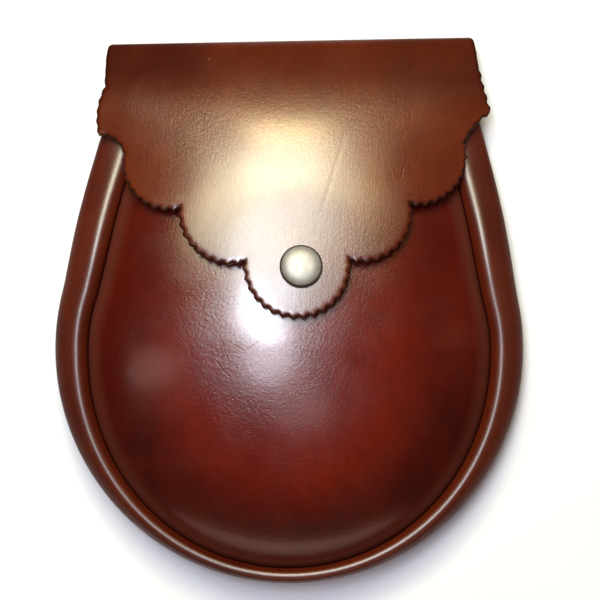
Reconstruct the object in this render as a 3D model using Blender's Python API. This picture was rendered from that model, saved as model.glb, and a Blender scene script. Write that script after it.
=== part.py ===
"""Sporran pouch: a round moulded leather pouch with a scalloped flap and one snap stud.

The pouch lies on its flat back. +X is to the right of someone who looks at its front, +Y points
up to the fold of the flap, and +Z points out of the front. The origin is under the middle of the
whole. Shapes are worked out around the centre of the round body, and each object is then placed
with that centre at BODY_CENTRE_Y.
"""

import math

import bmesh
import bpy
from mathutils import Matrix, Vector
from mathutils.geometry import delaunay_2d_cdt

# Driving dimensions of the body, in metres
BODY_RADIUS = 0.085  # round part, at the widest line of the gusset
SIDE_LEAN = math.radians(13.5)  # the sides lean in above the round part
SIDE_BOW = 0.0015  # and bow out by this much, most of all in their lower half
SIDE_BOW_LOWNESS = 0.7
GUSSET_TOP_Y = 0.094  # the gusset's cut ends
MOUTH_Y = 0.092  # the front panel's top edge
BACK_TOP_Y = 0.1010
BODY_CENTRE_Y = -0.01475

# Leather
BACK_THICKNESS = 0.0024
BACK_INSET = 0.0012
BACK_SPACING = 0.0200
GUSSET_THICKNESS = 0.0020
FRONT_THICKNESS = 0.0024
FLAP_THICKNESS = 0.0024
GAP = 0.0003  # between pieces that touch on the real pouch

# Rim and front panel. Heights are those of the outer faces, above the floor
RIM_WIDTH_SIDE = 0.0125  # from outline to groove, level with the body's centre
RIM_WIDTH_BOTTOM = 0.0060
RIM_NARROWING = 1.55  # how late the rim narrows on its way to the bottom
RIM_WIDENING = 0.22  # and how much it widens upwards, as a share of the narrowing
RIM_WIDENING_REACH = 0.50  # within this share of the body's radius above its centre
SEAM_HEIGHT = 0.0195  # where the front panel turns down into the groove
SEAM_DEPTH = 0.0043
DOME_HEIGHT = 0.0390
MOUTH_HEIGHT = 0.0200
CREST_FALL = 1.6
DOME_ROUNDNESS = 2.0
DOME_SHOULDER = 0.62
DOME_STEPS = (0.0, 0.012, 0.035, 0.075, 0.13, 0.21, 0.32, 0.46, 0.64, 0.82, 1.0)

# The body gets flatter from here up to the mouth
TAPER_START_Y = 0.030
TAPER_AT_TOP = 0.44
TAPER_BASE = 0.0074  # what lies below keeps its height

# Middle line of the gusset's leather, from the back seam to the front seam.
# inset_side, inset_bottom: distance inside the outline; height: above the floor at full depth
GUSSET_LINE = (
    # name, inset_side, inset_bottom, height
    ("flange edge", 0.0016, 0.0016, 0.0037),
    ("flange", 0.0046, 0.0046, 0.0037),
    ("flange root", 0.0072, 0.0072, 0.0038),
    ("heel", 0.0084, 0.0082, 0.0054),
    ("under belly", 0.0060, 0.0056, 0.0074),
    ("low belly", 0.0025, 0.0023, 0.0093),
    ("belly", 0.0010, 0.0010, 0.0127),
    ("high belly", 0.0020, 0.0013, 0.0168),
    ("shoulder", 0.0050, 0.0022, 0.0204),
    ("ridge", 0.0086, 0.0034, 0.0227),
    ("inner roll", 0.0104, 0.0045, 0.0215),
)
GUSSET_LINE_POINTS = 17
SIDE_STATIONS = 6
ROUND_STATIONS = 36

# Flap. Points are seen from the front, before the flap's tilt
FLAP_TILT = math.radians(2.19)  # it is cut and folded a little askew
FLAP_SHIFT_X = -0.0006
FOLD_RADIUS = 0.0070  # of the middle of the leather, in the middle of the fold
FOLD_FLATTENING = 0.0038  # the radius is that much less at the fold's ends
FOLD_LIFT = 0.13  # and their top lies higher by this share of it
FOLD_HALF_WIDTH = 0.067
FLAP_ROUNDNESS = 2.4  # how far the middle of the flap stays flat across
FOLD_BLEND = 0.012
TAIL_HEIGHT = BACK_THICKNESS + GAP + FLAP_THICKNESS / 2
RIM_CURVE = 60.0  # of the flap where it bends over the rim, per metre
RIM_END_Y = 0.0935  # and where it leaves the rim's upper ends
RIM_END_CURVE = 80.0
FOLD_TOP_Y = 0.1119
FOLD_LEFT_X = -0.0674
FOLD_RIGHT_X = 0.0660
FLAP_RISE = math.radians(30)  # slope of the flap as it leaves the fold
FLAP_SETTLE = 0.050  # length over which it comes to arch from rim to rim
FLAP_SOFTNESS = 0.0030
RIM_SOFTNESS = 0.0020
RIM_RIDGE_INSET = 0.0097
MOUTH_CLEARANCE = 0.0070  # the flap has left the front panel this far below the mouth
RIM_CLEARANCE = 0.00035  # more room over the round ridge, which the flap meets at a slant
TAIL_END_Y = 0.074
TAIL_HALF_WIDTH = 0.0515
TAIL_SHOULDER = 0.0045  # length of the slope from the tail to the fold's full width
FLAP_SPACING = 0.0058
FOLD_SPACING = 0.0023
FLAP_EDGE = (
    # name, end_x, end_y, bulge of the arc away from the leather
    ("left side", -0.0682, 0.0960, 0.0003),
    ("left side scallop", -0.0706, 0.0780, 0.0017),
    ("left cove", -0.0612, 0.0706, -0.0024),
    ("left outer scallop", -0.0413, 0.0502, 0.0073),
    ("left middle scallop", -0.0187, 0.0308, 0.0073),
    ("tongue", 0.0189, 0.0308, 0.0195),
    ("right middle scallop", 0.0408, 0.0502, 0.0076),
    ("right outer scallop", 0.0610, 0.0728, 0.0077),
    ("right cove", 0.0711, 0.0838, -0.0012),
    ("right side", FOLD_RIGHT_X, None, -0.0004),
)
ARC_STEP = 0.0036

# Snap stud
STUD_X = 0.0036
STUD_Y = 0.0284
STAND_OFF = 0.0026  # the snap holds the two leathers this far apart
STAND_OFF_FADE = 0.0300
CAP_RADIUS = 0.0075
CAP_EDGE = 0.0009
CAP_DOME = 0.0023
CAP_DOME_RADIUS = 0.00735
CAP_STEPS = 6
POST_RADIUS = 0.0020
HOLE_RADIUS = 0.0024
HOLE_REACH = (0.012, -0.008)
HOLE_SEGMENTS = 16
SOCKET_RADIUS = 0.0052
SOCKET_HEIGHT = 0.0020
SOCKET_ROOF = 0.0004
WASHER_RADIUS = 0.0050
WASHER_HEIGHT = 0.0008
SNAP_GAP = 0.0005  # between its flat faces and the curved leather
STUD_SEGMENTS = 28

# Slots in the back for a belt strap
SLOT_WIDTH = 0.0050
SLOT_LENGTH = 0.0270
SLOT_Y = 0.0450
SLOT_X = (-0.0470, -0.0200, 0.0200, 0.0470)


def smoothstep(value):
    """Ease from 0 to 1 as value goes from 0 to 1."""
    value = min(1.0, max(0.0, value))
    return value * value * (3.0 - 2.0 * value)


def mix(low, high, share):
    return low + (high - low) * share


def smooth_max(first, second, softness):
    """The larger of two values, rounded where they are alike."""
    near = max(0.0, 1.0 - abs(first - second) / softness)
    return max(first, second) + near * near * softness / 4


# Outline of the body


def half_width(y, inset=0.0):
    """Half the width of the body at height y, inside the outline by inset."""
    radius = BODY_RADIUS - inset
    tangent_y = radius * math.sin(SIDE_LEAN)
    if y <= tangent_y:
        return math.sqrt(max(0.0, radius * radius - y * y))
    share = min(1.0, (y - tangent_y) / (FOLD_TOP_Y - tangent_y))
    bow = SIDE_BOW * math.sin(math.pi * share**SIDE_BOW_LOWNESS) ** 2
    return radius * math.cos(SIDE_LEAN) - (y - tangent_y) * math.tan(SIDE_LEAN) + bow


def outline_stations(top_y):
    """Points along the outline from the top left around the bottom to the top right.

    Each is (point, inward direction, lowness), where lowness goes from 0 level with the body's
    centre to 1 at the bottom, and below 0 higher up.
    """
    stations = []
    tangent_y = BODY_RADIUS * math.sin(SIDE_LEAN)
    inward = Vector((math.cos(SIDE_LEAN), -math.sin(SIDE_LEAN)))
    for index in range(SIDE_STATIONS):
        y = mix(top_y, tangent_y, index / SIDE_STATIONS)
        stations.append((Vector((-half_width(y), y)), inward, -y / BODY_RADIUS))
    for index in range(ROUND_STATIONS + 1):
        angle = mix(math.pi - SIDE_LEAN, 2.0 * math.pi + SIDE_LEAN, index / ROUND_STATIONS)
        outward = Vector((math.cos(angle), math.sin(angle)))
        stations.append((outward * BODY_RADIUS, -outward, -outward.y))
    for point, direction, lowness in reversed(stations[:SIDE_STATIONS]):
        stations.append(
            (Vector((-point.x, point.y)), Vector((-direction.x, direction.y)), lowness)
        )
    return stations


def rim_share(lowness):
    """How far the rim has gone from its width at the sides to that at the bottom.

    It is below 0 higher up, where the rim is wider.
    """
    if lowness > 0.0:
        return lowness**RIM_NARROWING
    return -RIM_WIDENING * smoothstep(-lowness / RIM_WIDENING_REACH)


def rim_width(lowness):
    return mix(RIM_WIDTH_SIDE, RIM_WIDTH_BOTTOM, rim_share(lowness))


def tapered(height, y):
    """A height at full depth, as it is at y, where the body gets flatter towards the mouth."""
    share = smoothstep((y - TAPER_START_Y) / (GUSSET_TOP_Y - TAPER_START_Y))
    return min(height, TAPER_BASE + (height - TAPER_BASE) * mix(1.0, TAPER_AT_TOP, share))


# Heights of the front panel and the flap


def crest_height(y):
    """Height of the front's outer face along its middle line above the body's centre."""
    share = min(1.0, max(0.0, y) / MOUTH_Y)
    return mix(DOME_HEIGHT, MOUTH_HEIGHT, share**CREST_FALL)


def dome_share(distance):
    """Share of the dome's rise, where distance goes from 0 at the edge to 1 at the crest."""
    return (1.0 - abs(1.0 - distance) ** DOME_ROUNDNESS) ** DOME_SHOULDER


def front_height(x, y):
    """Height of the front panel's outer face over a point, level outside the groove."""
    inset = RIM_WIDTH_SIDE + (GAP + FRONT_THICKNESS) / 2
    width = half_width(y, inset)
    distance = max(0.0, 1.0 - abs(x) / width) if y > 0.0 else 0.0
    if y <= 0.0:
        distance = max(0.0, 1.0 - math.hypot(x, y) / (BODY_RADIUS - inset))
    seam = tapered(SEAM_HEIGHT, y)
    return mix(seam, crest_height(y), dome_share(distance))


def rim_height(y):
    """Height of the top of the rim, on its outer face."""
    ridge = max(row[3] for row in GUSSET_LINE)
    return tapered(ridge, y) + GUSSET_THICKNESS / 2


def fold_place(x=0.0):
    """The fold's centre in y, its radius, and where the flap leaves it in y and in height."""
    radius = FOLD_RADIUS - FOLD_FLATTENING * (abs(x) / FOLD_HALF_WIDTH) ** FLAP_ROUNDNESS
    centre_y = FOLD_TOP_Y - radius - FLAP_THICKNESS / 2 + FOLD_LIFT * (FOLD_RADIUS - radius)
    leave_y = centre_y + radius * math.sin(FLAP_RISE)
    leave_height = TAIL_HEIGHT + radius * (1.0 + math.cos(FLAP_RISE))
    return centre_y, radius, leave_y, leave_height


def tilt_flap(x, y):
    """Turn a point of the flap about the middle of its fold."""
    centre_y = fold_place()[0]
    turned = Matrix.Rotation(FLAP_TILT, 2) @ Vector((x, y - centre_y))
    return turned.x + FLAP_SHIFT_X, turned.y + centre_y


def flap_middle(y):
    """Height of the flap's leather along its middle, before the tilt."""
    _, _, leave_y, leave_height = fold_place()
    resting = GAP + FLAP_THICKNESS / 2 + STAND_OFF
    if y <= STUD_Y:
        return crest_height(y) + resting
    reach = leave_y - STUD_Y
    share = (leave_y - y) / reach
    stud_height = crest_height(STUD_Y) + resting
    stud_slope = (crest_height(STUD_Y - 0.001) - crest_height(STUD_Y + 0.001)) / 0.002
    fold_slope = math.tan(FLAP_RISE)
    rise = stud_height - leave_height
    square = 3.0 * rise - (2.0 * fold_slope + stud_slope) * reach
    cube = (fold_slope + stud_slope) * reach - 2.0 * rise
    return leave_height + fold_slope * reach * share + square * share**2 + cube * share**3


def flap_shift(x, y):
    """How far up a point of the front is drawn near the ends of the fold, which are flatter."""
    middle_y = fold_place()[2]
    return (fold_place(x)[2] - middle_y) * (1.0 - smoothstep((middle_y - y) / FOLD_BLEND))


def flap_height(x, y):
    """Height of the middle of the flap's leather over a point of its front, before the tilt."""
    body_x, body_y = tilt_flap(x, y + flap_shift(x, y))
    resting = GAP + FLAP_THICKNESS / 2
    middle = flap_middle(y)
    over_rim = rim_height(body_y) + resting + RIM_CLEARANCE
    ridge_x = half_width(body_y, RIM_RIDGE_INSET)
    fold_drop = fold_place()[3] - fold_place(x)[3]
    rim_drop = max(0.0, middle - over_rim) * (abs(body_x) / ridge_x) ** FLAP_ROUNDNESS
    settled = smoothstep((fold_place()[2] - y) / FLAP_SETTLE)
    arched = middle - mix(fold_drop, rim_drop, settled)
    past_rim = max(0.0, body_y - RIM_END_Y)
    on_rim = over_rim - RIM_CURVE * (abs(body_x) - ridge_x) ** 2 - RIM_END_CURVE * past_rim**2
    past_mouth = smoothstep((body_y - MOUTH_Y) / MOUTH_CLEARANCE + 1.0)
    lying = front_height(body_x, body_y) + resting - past_mouth * MOUTH_HEIGHT
    spanning = smooth_max(arched, lying, FLAP_SOFTNESS)
    carried = smooth_max(spanning, on_rim, RIM_SOFTNESS)
    from_stud = math.hypot(body_x - STUD_X, body_y - STUD_Y)
    near_stud = 1.0 - smoothstep(from_stud / STAND_OFF_FADE)
    return mix(carried, lying + STAND_OFF, near_stud)


# Building blocks


def new_object(name, mesh, material):
    """Link an object made around the body's centre, placed in the frame of the whole."""
    item = bpy.data.objects.new(name, mesh)
    item.location.y = BODY_CENTRE_Y
    mesh.materials.append(material)
    bpy.context.scene.collection.objects.link(item)
    return item


def mesh_from(name, points, faces):
    """A mesh whose normals agree, with points at the same place joined."""
    mesh = bpy.data.meshes.new(name)
    mesh.from_pydata(points, [], faces)
    work = bmesh.new()
    work.from_mesh(mesh)
    bmesh.ops.remove_doubles(work, verts=work.verts, dist=1e-6)
    bmesh.ops.recalc_face_normals(work, faces=work.faces)
    work.to_mesh(mesh)
    work.free()
    mesh.shade_smooth()
    mesh.set_sharp_from_angle(angle=math.radians(40))
    return mesh


def add_thickness(item, thickness):
    """Give a sheet its leather's thickness, half to each side."""
    solidify = item.modifiers.new("Leather", "SOLIDIFY")
    solidify.thickness = thickness
    solidify.offset = 0.0
    solidify.use_even_offset = True
    solidify.use_quality_normals = True


def grid_faces(rows, columns):
    """Quads of a grid of points that is listed row by row."""
    faces = []
    for row in range(rows - 1):
        for column in range(columns - 1):
            corner = row * columns + column
            faces.append((corner, corner + 1, corner + columns + 1, corner + columns))
    return faces


def smooth_line(points, count):
    """Catmull-Rom curve through points, sampled at count places."""
    ends = [points[0] * 2 - points[1]] + points + [points[-1] * 2 - points[-2]]
    samples = []
    for index in range(count):
        place = index / (count - 1) * (len(points) - 1)
        start = min(int(place), len(points) - 2)
        t = place - start
        a, b, c, d = ends[start : start + 4]
        samples.append(
            0.5
            * (
                2 * b
                + (c - a) * t
                + (2 * a - 5 * b + 4 * c - d) * t**2
                + (3 * b - a - 3 * c + d) * t**3
            )
        )
    return samples


def arc_points(start, end, bulge):
    """Points after start up to end along an arc that bulges to the right of start to end."""
    chord = end - start
    if abs(bulge) < 1e-6:
        return [end]
    radius = (chord.length**2 / 4 + bulge**2) / (2 * bulge)
    side = Vector((chord.y, -chord.x)).normalized()
    centre = (start + end) / 2 + side * (bulge - radius)
    sweep = 4 * math.atan(2 * bulge / chord.length)
    steps = max(2, round(abs(radius * sweep) / ARC_STEP))
    arm = start - centre
    return [centre + Matrix.Rotation(sweep * n / steps, 2) @ arm for n in range(1, steps + 1)]


def is_inside(point, outline):
    """Whether a point lies inside a closed outline."""
    inside = False
    for start, end in zip(outline, outline[1:] + outline[:1]):
        if (start.y > point.y) != (end.y > point.y):
            share = (point.y - start.y) / (end.y - start.y)
            if point.x < mix(start.x, end.x, share):
                inside = not inside
    return inside


def spaced(low, high, spacing):
    """Values between low and high, evenly apart, without the two ends."""
    count = max(1, round((high - low) / spacing))
    return [mix(low, high, n / count) for n in range(1, count)]


def fill_outlines(outlines, levels, spacing):
    """Triangles of a flat sheet cut to closed outlines, the first the edge and others holes.

    Inside, its points lie in rows at the given levels of y.
    """
    points = []
    edges = []
    for outline in outlines:
        first = len(points)
        points += outline
        edges += [(first + n, first + (n + 1) % len(outline)) for n in range(len(outline))]
    borders = list(points)
    low_x = min(p.x for p in borders)
    high_x = max(p.x for p in borders)
    for y in levels:
        for x in spaced(low_x, high_x, spacing):
            place = Vector((x, y))
            near = min((place - border).length for border in borders)
            if near > spacing * 0.5 and is_inside(place, outlines[0]):
                points.append(place)
    filled, _, faces = delaunay_2d_cdt(points, edges, [], 0, 1e-7)[:3]
    kept = []
    for face in faces:
        middle = sum((filled[n] for n in face), Vector((0.0, 0.0))) / 3
        if is_inside(middle, outlines[0]):
            if not any(is_inside(middle, hole) for hole in outlines[1:]):
                kept.append(face)
    return filled, kept


def turned(name, profile, material, segments):
    """A closed round solid about its own Z from a profile of (radius, height) points."""
    work = bmesh.new()
    loop = [work.verts.new((radius, 0.0, height)) for radius, height in profile]
    rim = [work.edges.new(pair) for pair in zip(loop, loop[1:])]
    bmesh.ops.spin(
        work,
        geom=loop + rim,
        axis=(0, 0, 1),
        cent=(0, 0, 0),
        angle=2 * math.pi,
        steps=segments,
        use_merge=True,
    )
    bmesh.ops.remove_doubles(work, verts=work.verts, dist=1e-6)
    bmesh.ops.recalc_face_normals(work, faces=work.faces)
    mesh = bpy.data.meshes.new(name)
    work.to_mesh(mesh)
    work.free()
    mesh.shade_smooth()
    mesh.set_sharp_from_angle(angle=math.radians(35))
    return new_object(name, mesh, material)


def cut_hole(item, cutter):
    boolean = item.modifiers.new("Hole", "BOOLEAN")
    boolean.operation = "DIFFERENCE"
    boolean.solver = "EXACT"
    boolean.object = cutter


# Materials


def principled(name, colour, roughness, metallic):
    material = bpy.data.materials.new(name)
    material.use_nodes = True
    shader = material.node_tree.nodes["Principled BSDF"]
    shader.inputs["Base Color"].default_value = (*colour, 1.0)
    shader.inputs["Roughness"].default_value = roughness
    shader.inputs["Metallic"].default_value = metallic
    material.diffuse_color = (*colour, 1.0)
    return material


# Pieces


def make_back_panel(material):
    """Flat back with four belt slots."""
    outline = [point + inward * BACK_INSET for point, inward, _ in outline_stations(BACK_TOP_Y)]
    slots = []
    for x in SLOT_X:
        slots.append(slot_outline(x, SLOT_Y))
    levels = spaced(-BODY_RADIUS, BACK_TOP_Y, BACK_SPACING)
    flat, faces = fill_outlines([outline] + slots, levels, BACK_SPACING)
    height = BACK_THICKNESS / 2
    mesh = mesh_from("back_panel", [(p.x, p.y, height) for p in flat], faces)
    panel = new_object("back_panel", mesh, material)
    add_thickness(panel, BACK_THICKNESS)
    return panel


def slot_outline(x, y):
    """A slot with round ends, its long side along Y."""
    radius = SLOT_WIDTH / 2
    reach = SLOT_LENGTH / 2 - radius
    outline = []
    for end, first in ((1, 0.0), (-1, math.pi)):
        for step in range(7):
            angle = first + math.pi * step / 6
            outline.append(
                Vector((x + radius * math.cos(angle), y + end * reach + radius * math.sin(angle)))
            )
    return outline


def gusset_section(lowness, y):
    """Middle line of the gusset's leather at one station, as (inset, height) points."""
    share = rim_share(lowness)
    line = []
    for _, inset_side, inset_bottom, height in GUSSET_LINE:
        line.append(Vector((mix(inset_side, inset_bottom, share), height)))
    seam_inset = rim_width(lowness) - (GAP + GUSSET_THICKNESS) / 2
    line.append(Vector((seam_inset, SEAM_HEIGHT - 0.0002)))
    line.append(Vector((seam_inset, SEAM_HEIGHT - SEAM_DEPTH)))
    return [
        Vector((point.x, tapered(point.y, y))) for point in smooth_line(line, GUSSET_LINE_POINTS)
    ]


def make_gusset(material):
    """Side wall: flat on the back panel, rolled out and over to the rim, down into the seam."""
    points = []
    stations = outline_stations(GUSSET_TOP_Y)
    for point, inward, lowness in stations:
        for inset, height in gusset_section(lowness, point.y):
            place = point + inward * inset
            points.append((place.x, place.y, height))
    mesh = mesh_from("gusset", points, grid_faces(len(stations), GUSSET_LINE_POINTS))
    gusset = new_object("gusset", mesh, material)
    add_thickness(gusset, GUSSET_THICKNESS)
    return gusset


def front_row(point, inward, lowness):
    """Middle of the front's leather from its turned-down edge to the crest, at one station."""
    edge = point + inward * (rim_width(lowness) + (GAP + FRONT_THICKNESS) / 2)
    seam = tapered(SEAM_HEIGHT, point.y) - FRONT_THICKNESS / 2
    crest = crest_height(edge.y) - FRONT_THICKNESS / 2
    middle = Vector((0.0, max(0.0, edge.y)))
    row = [(edge.x, edge.y, tapered(SEAM_HEIGHT - SEAM_DEPTH, point.y))]
    for distance in DOME_STEPS:
        place = edge.lerp(middle, distance)
        row.append((place.x, place.y, mix(seam, crest, dome_share(distance))))
    return row


def make_front_panel(material):
    """Moulded dome whose edge turns down into the seam."""
    points = []
    stations = outline_stations(MOUTH_Y)
    for point, inward, lowness in stations:
        points += front_row(point, inward, lowness)
    mesh = mesh_from("front_panel", points, grid_faces(len(stations), len(DOME_STEPS) + 1))
    panel = new_object("front_panel", mesh, material)
    add_thickness(panel, FRONT_THICKNESS)
    return panel


def flap_front_outline():
    """The front's cut edge from the left end of the fold to the right end."""
    leave_y = fold_place()[2]
    outline = [Vector((FOLD_LEFT_X, leave_y))]
    for _, end_x, end_y, bulge in FLAP_EDGE:
        end = Vector((end_x, leave_y if end_y is None else end_y))
        outline += arc_points(outline[-1], end, bulge)
    return outline


def flap_pattern():
    """The flat leather: x across, y from the tail's end around the fold to the front's edge.

    Gives its outline, the levels of its rows, and where the fold starts and ends.
    """
    centre_y, _, leave_y, _ = fold_place()
    fold_start = centre_y - TAIL_END_Y
    fold_end = fold_start + FOLD_RADIUS * (math.pi - FLAP_RISE)
    front = [Vector((p.x, fold_end + leave_y - p.y)) for p in flap_front_outline()]
    front_end = max(p.y for p in front)
    fold_levels = spaced(fold_start, fold_end, FOLD_SPACING)
    shoulder = fold_start - TAIL_SHOULDER
    outline = front + [Vector((FOLD_RIGHT_X, level)) for level in reversed(fold_levels)]
    outline += [
        Vector((FOLD_RIGHT_X, fold_start)),
        Vector((TAIL_HALF_WIDTH, shoulder)),
        Vector((TAIL_HALF_WIDTH, 0.0)),
        Vector((-TAIL_HALF_WIDTH, 0.0)),
        Vector((-TAIL_HALF_WIDTH, shoulder)),
        Vector((FOLD_LEFT_X, fold_start)),
    ]
    outline += [Vector((FOLD_LEFT_X, level)) for level in fold_levels]
    levels = spaced(0.0, fold_start, FLAP_SPACING * 2)
    levels += [fold_start] + fold_levels + [fold_end]
    levels += spaced(fold_end, front_end, FLAP_SPACING)
    return outline, levels, fold_start, fold_end


def fold_leather(x, length, fold_start, fold_end):
    """Where a point of the flap's flat leather comes to lie."""
    centre_y, radius, _, _ = fold_place(x)
    if length <= fold_start:
        y = centre_y - fold_start + length
        height = TAIL_HEIGHT
    elif length <= fold_end:
        angle = (length - fold_start) / FOLD_RADIUS - math.pi / 2
        y = centre_y + radius * math.cos(angle)
        height = TAIL_HEIGHT + radius * (1.0 + math.sin(angle))
    else:
        y = fold_place()[2] - (length - fold_end)
        height = flap_height(x, y)
        y += flap_shift(x, y)
    body_x, body_y = tilt_flap(x, y)
    return body_x, body_y, height


def make_flap(material):
    """One sheet: tail, fold and scalloped front."""
    outline, levels, fold_start, fold_end = flap_pattern()
    flat, faces = fill_outlines([outline], levels, FLAP_SPACING)
    points = [fold_leather(p.x, p.y, fold_start, fold_end) for p in flat]
    mesh = mesh_from("flap", points, faces)
    flap = new_object("flap", mesh, material)
    add_thickness(flap, FLAP_THICKNESS)
    return flap


def stud_frame():
    """Placement of the snap: origin at the middle of the flap's leather, Z out of it."""
    step = 0.002
    centre = Vector((STUD_X, STUD_Y, front_height(STUD_X, STUD_Y)))
    slope_x = front_height(STUD_X + step, STUD_Y) - front_height(STUD_X - step, STUD_Y)
    slope_y = front_height(STUD_X, STUD_Y + step) - front_height(STUD_X, STUD_Y - step)
    out = Vector((-slope_x, -slope_y, 2 * step)).normalized()
    turn = Vector((0, 0, 1)).rotation_difference(out)
    return centre, turn


def place_on_stud(item):
    centre, turn = stud_frame()
    item.rotation_mode = "QUATERNION"
    item.rotation_quaternion = turn
    item.location = centre + Vector((0.0, BODY_CENTRE_Y, 0.0))
    return item


def snap_heights():
    """Heights above the front's outer face: the flap's underside, the socket's top and bore."""
    flap_under = GAP + STAND_OFF
    socket_top = flap_under - SNAP_GAP
    return flap_under, socket_top, socket_top - SOCKET_ROOF


def make_stud_cap(material):
    """Domed cap with its post and socket, from the front's outer face upwards."""
    flap_under, socket_top, bore_top = snap_heights()
    socket_low = socket_top - SOCKET_HEIGHT
    bore = POST_RADIUS + GAP
    base = flap_under + FLAP_THICKNESS + SNAP_GAP
    profile = [(0.0, bore_top), (bore, bore_top), (bore, socket_low)]
    profile += [(SOCKET_RADIUS, socket_low), (SOCKET_RADIUS, socket_top)]
    profile += [(POST_RADIUS, socket_top), (POST_RADIUS, base)]
    profile += [(CAP_RADIUS - CAP_EDGE / 2, base), (CAP_RADIUS, base + CAP_EDGE / 2)]
    for step in range(CAP_STEPS):
        angle = math.pi / 2 * step / CAP_STEPS
        radius = CAP_DOME_RADIUS * math.cos(angle)
        profile.append((radius, base + CAP_EDGE + CAP_DOME * math.sin(angle)))
    profile.append((0.0, base + CAP_EDGE + CAP_DOME))
    return place_on_stud(turned("stud_cap", profile, material, STUD_SEGMENTS))


def make_snap_stud(material):
    """Hidden half: a head in the cap's socket, a shaft, and a washer inside the pouch."""
    head_top = snap_heights()[2] - GAP
    inside = -FRONT_THICKNESS - SNAP_GAP
    profile = [
        (0.0, head_top),
        (POST_RADIUS, head_top),
        (POST_RADIUS, inside),
        (WASHER_RADIUS, inside),
        (WASHER_RADIUS, inside - WASHER_HEIGHT),
        (0.0, inside - WASHER_HEIGHT),
    ]
    return place_on_stud(turned("snap_stud", profile, material, STUD_SEGMENTS))


def make_hole_cutter():
    """Drill for the two leathers at the snap. Not a part of the pouch."""
    high, low = HOLE_REACH
    profile = [(0.0, high), (HOLE_RADIUS, high), (HOLE_RADIUS, low), (0.0, low)]
    material = principled("Cutter", (0.5, 0.5, 0.5), 0.5, 0.0)
    cutter = turned("hole_cutter", profile, material, HOLE_SEGMENTS)
    cutter.hide_render = True
    cutter.display_type = "WIRE"
    return place_on_stud(cutter)


def clear_scene():
    for item in list(bpy.data.objects):
        bpy.data.objects.remove(item, do_unlink=True)


def build():
    clear_scene()
    cutter = make_hole_cutter()
    make_back_panel(principled("Back leather", (0.115, 0.022, 0.012), 0.42, 0.0))
    make_gusset(principled("Gusset leather", (0.140, 0.024, 0.012), 0.30, 0.0))
    cut_hole(
        make_front_panel(principled("Front leather", (0.140, 0.020, 0.010), 0.26, 0.0)), cutter
    )
    cut_hole(make_flap(principled("Flap leather", (0.160, 0.034, 0.016), 0.30, 0.0)), cutter)
    make_stud_cap(principled("Antique nickel", (0.46, 0.42, 0.36), 0.34, 1.0))
    make_snap_stud(principled("Snap steel", (0.50, 0.50, 0.50), 0.40, 1.0))


build()
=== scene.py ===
"""Looks of a sporran pouch: its leathers, snap and stitches, with floor, light and camera.

Metres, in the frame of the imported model: +X to the right of someone who looks at the pouch's
front, +Y up to the fold of the flap, +Z out of the front. Shapes are worked out around the centre
of the round body, as the model's are, and each piece is then placed with that centre at
BODY_CENTRE_Y.
"""

import math
import random

import bpy
from mathutils import Matrix, Vector, noise
from mathutils.geometry import delaunay_2d_cdt
from mathutils.kdtree import KDTree


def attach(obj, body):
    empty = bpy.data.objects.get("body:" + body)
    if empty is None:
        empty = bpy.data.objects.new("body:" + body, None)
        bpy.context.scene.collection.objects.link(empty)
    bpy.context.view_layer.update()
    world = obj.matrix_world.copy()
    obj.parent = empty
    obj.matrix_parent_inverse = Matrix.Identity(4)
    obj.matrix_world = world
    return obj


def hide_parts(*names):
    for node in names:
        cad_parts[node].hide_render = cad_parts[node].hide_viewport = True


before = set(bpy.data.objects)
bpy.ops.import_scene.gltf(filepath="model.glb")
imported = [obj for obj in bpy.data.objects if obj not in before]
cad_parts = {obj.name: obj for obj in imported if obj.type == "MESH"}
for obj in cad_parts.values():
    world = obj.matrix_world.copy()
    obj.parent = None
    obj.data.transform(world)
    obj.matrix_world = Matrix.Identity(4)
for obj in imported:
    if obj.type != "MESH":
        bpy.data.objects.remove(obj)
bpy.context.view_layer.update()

# Driving dimensions of the body, as in the model
BODY_RADIUS = 0.085
SIDE_LEAN = math.radians(13.5)
SIDE_BOW = 0.0015
SIDE_BOW_LOWNESS = 0.7
GUSSET_TOP_Y = 0.094
MOUTH_Y = 0.092
BACK_TOP_Y = 0.1010
BODY_CENTRE_Y = -0.01475

# Leather
BACK_THICKNESS = 0.0024
BACK_INSET = 0.0012
GUSSET_THICKNESS = 0.0020
FRONT_THICKNESS = 0.0024
FLAP_THICKNESS = 0.0024
GAP = 0.0003
SHEETS = {
    # piece: thickness, radius of its cut edges
    "back_leather": (BACK_THICKNESS, 0.0007),
    "rim_gusset": (GUSSET_THICKNESS, 0.0006),
    "front_leather": (FRONT_THICKNESS, 0.0007),
    "flap_leather": (FLAP_THICKNESS, 0.0004),
}

# Rim and front. Heights are those of the outer faces, above the floor
RIM_WIDTH_SIDE = 0.0125
RIM_WIDTH_BOTTOM = 0.0060
RIM_NARROWING = 1.55
RIM_WIDENING = 0.22
RIM_WIDENING_REACH = 0.50
SEAM_HEIGHT = 0.0195
SEAM_DEPTH = 0.0043
SEAM_ROLL = 0.0002  # how far under the seam's top the rim turns down
DOME_HEIGHT = 0.0390
MOUTH_HEIGHT = 0.0200
CREST_FALL = 1.6
DOME_ROUNDNESS = 2.0
DOME_SHOULDER = 0.62
TAPER_START_Y = 0.030
TAPER_AT_TOP = 0.44
TAPER_BASE = 0.0074

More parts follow.
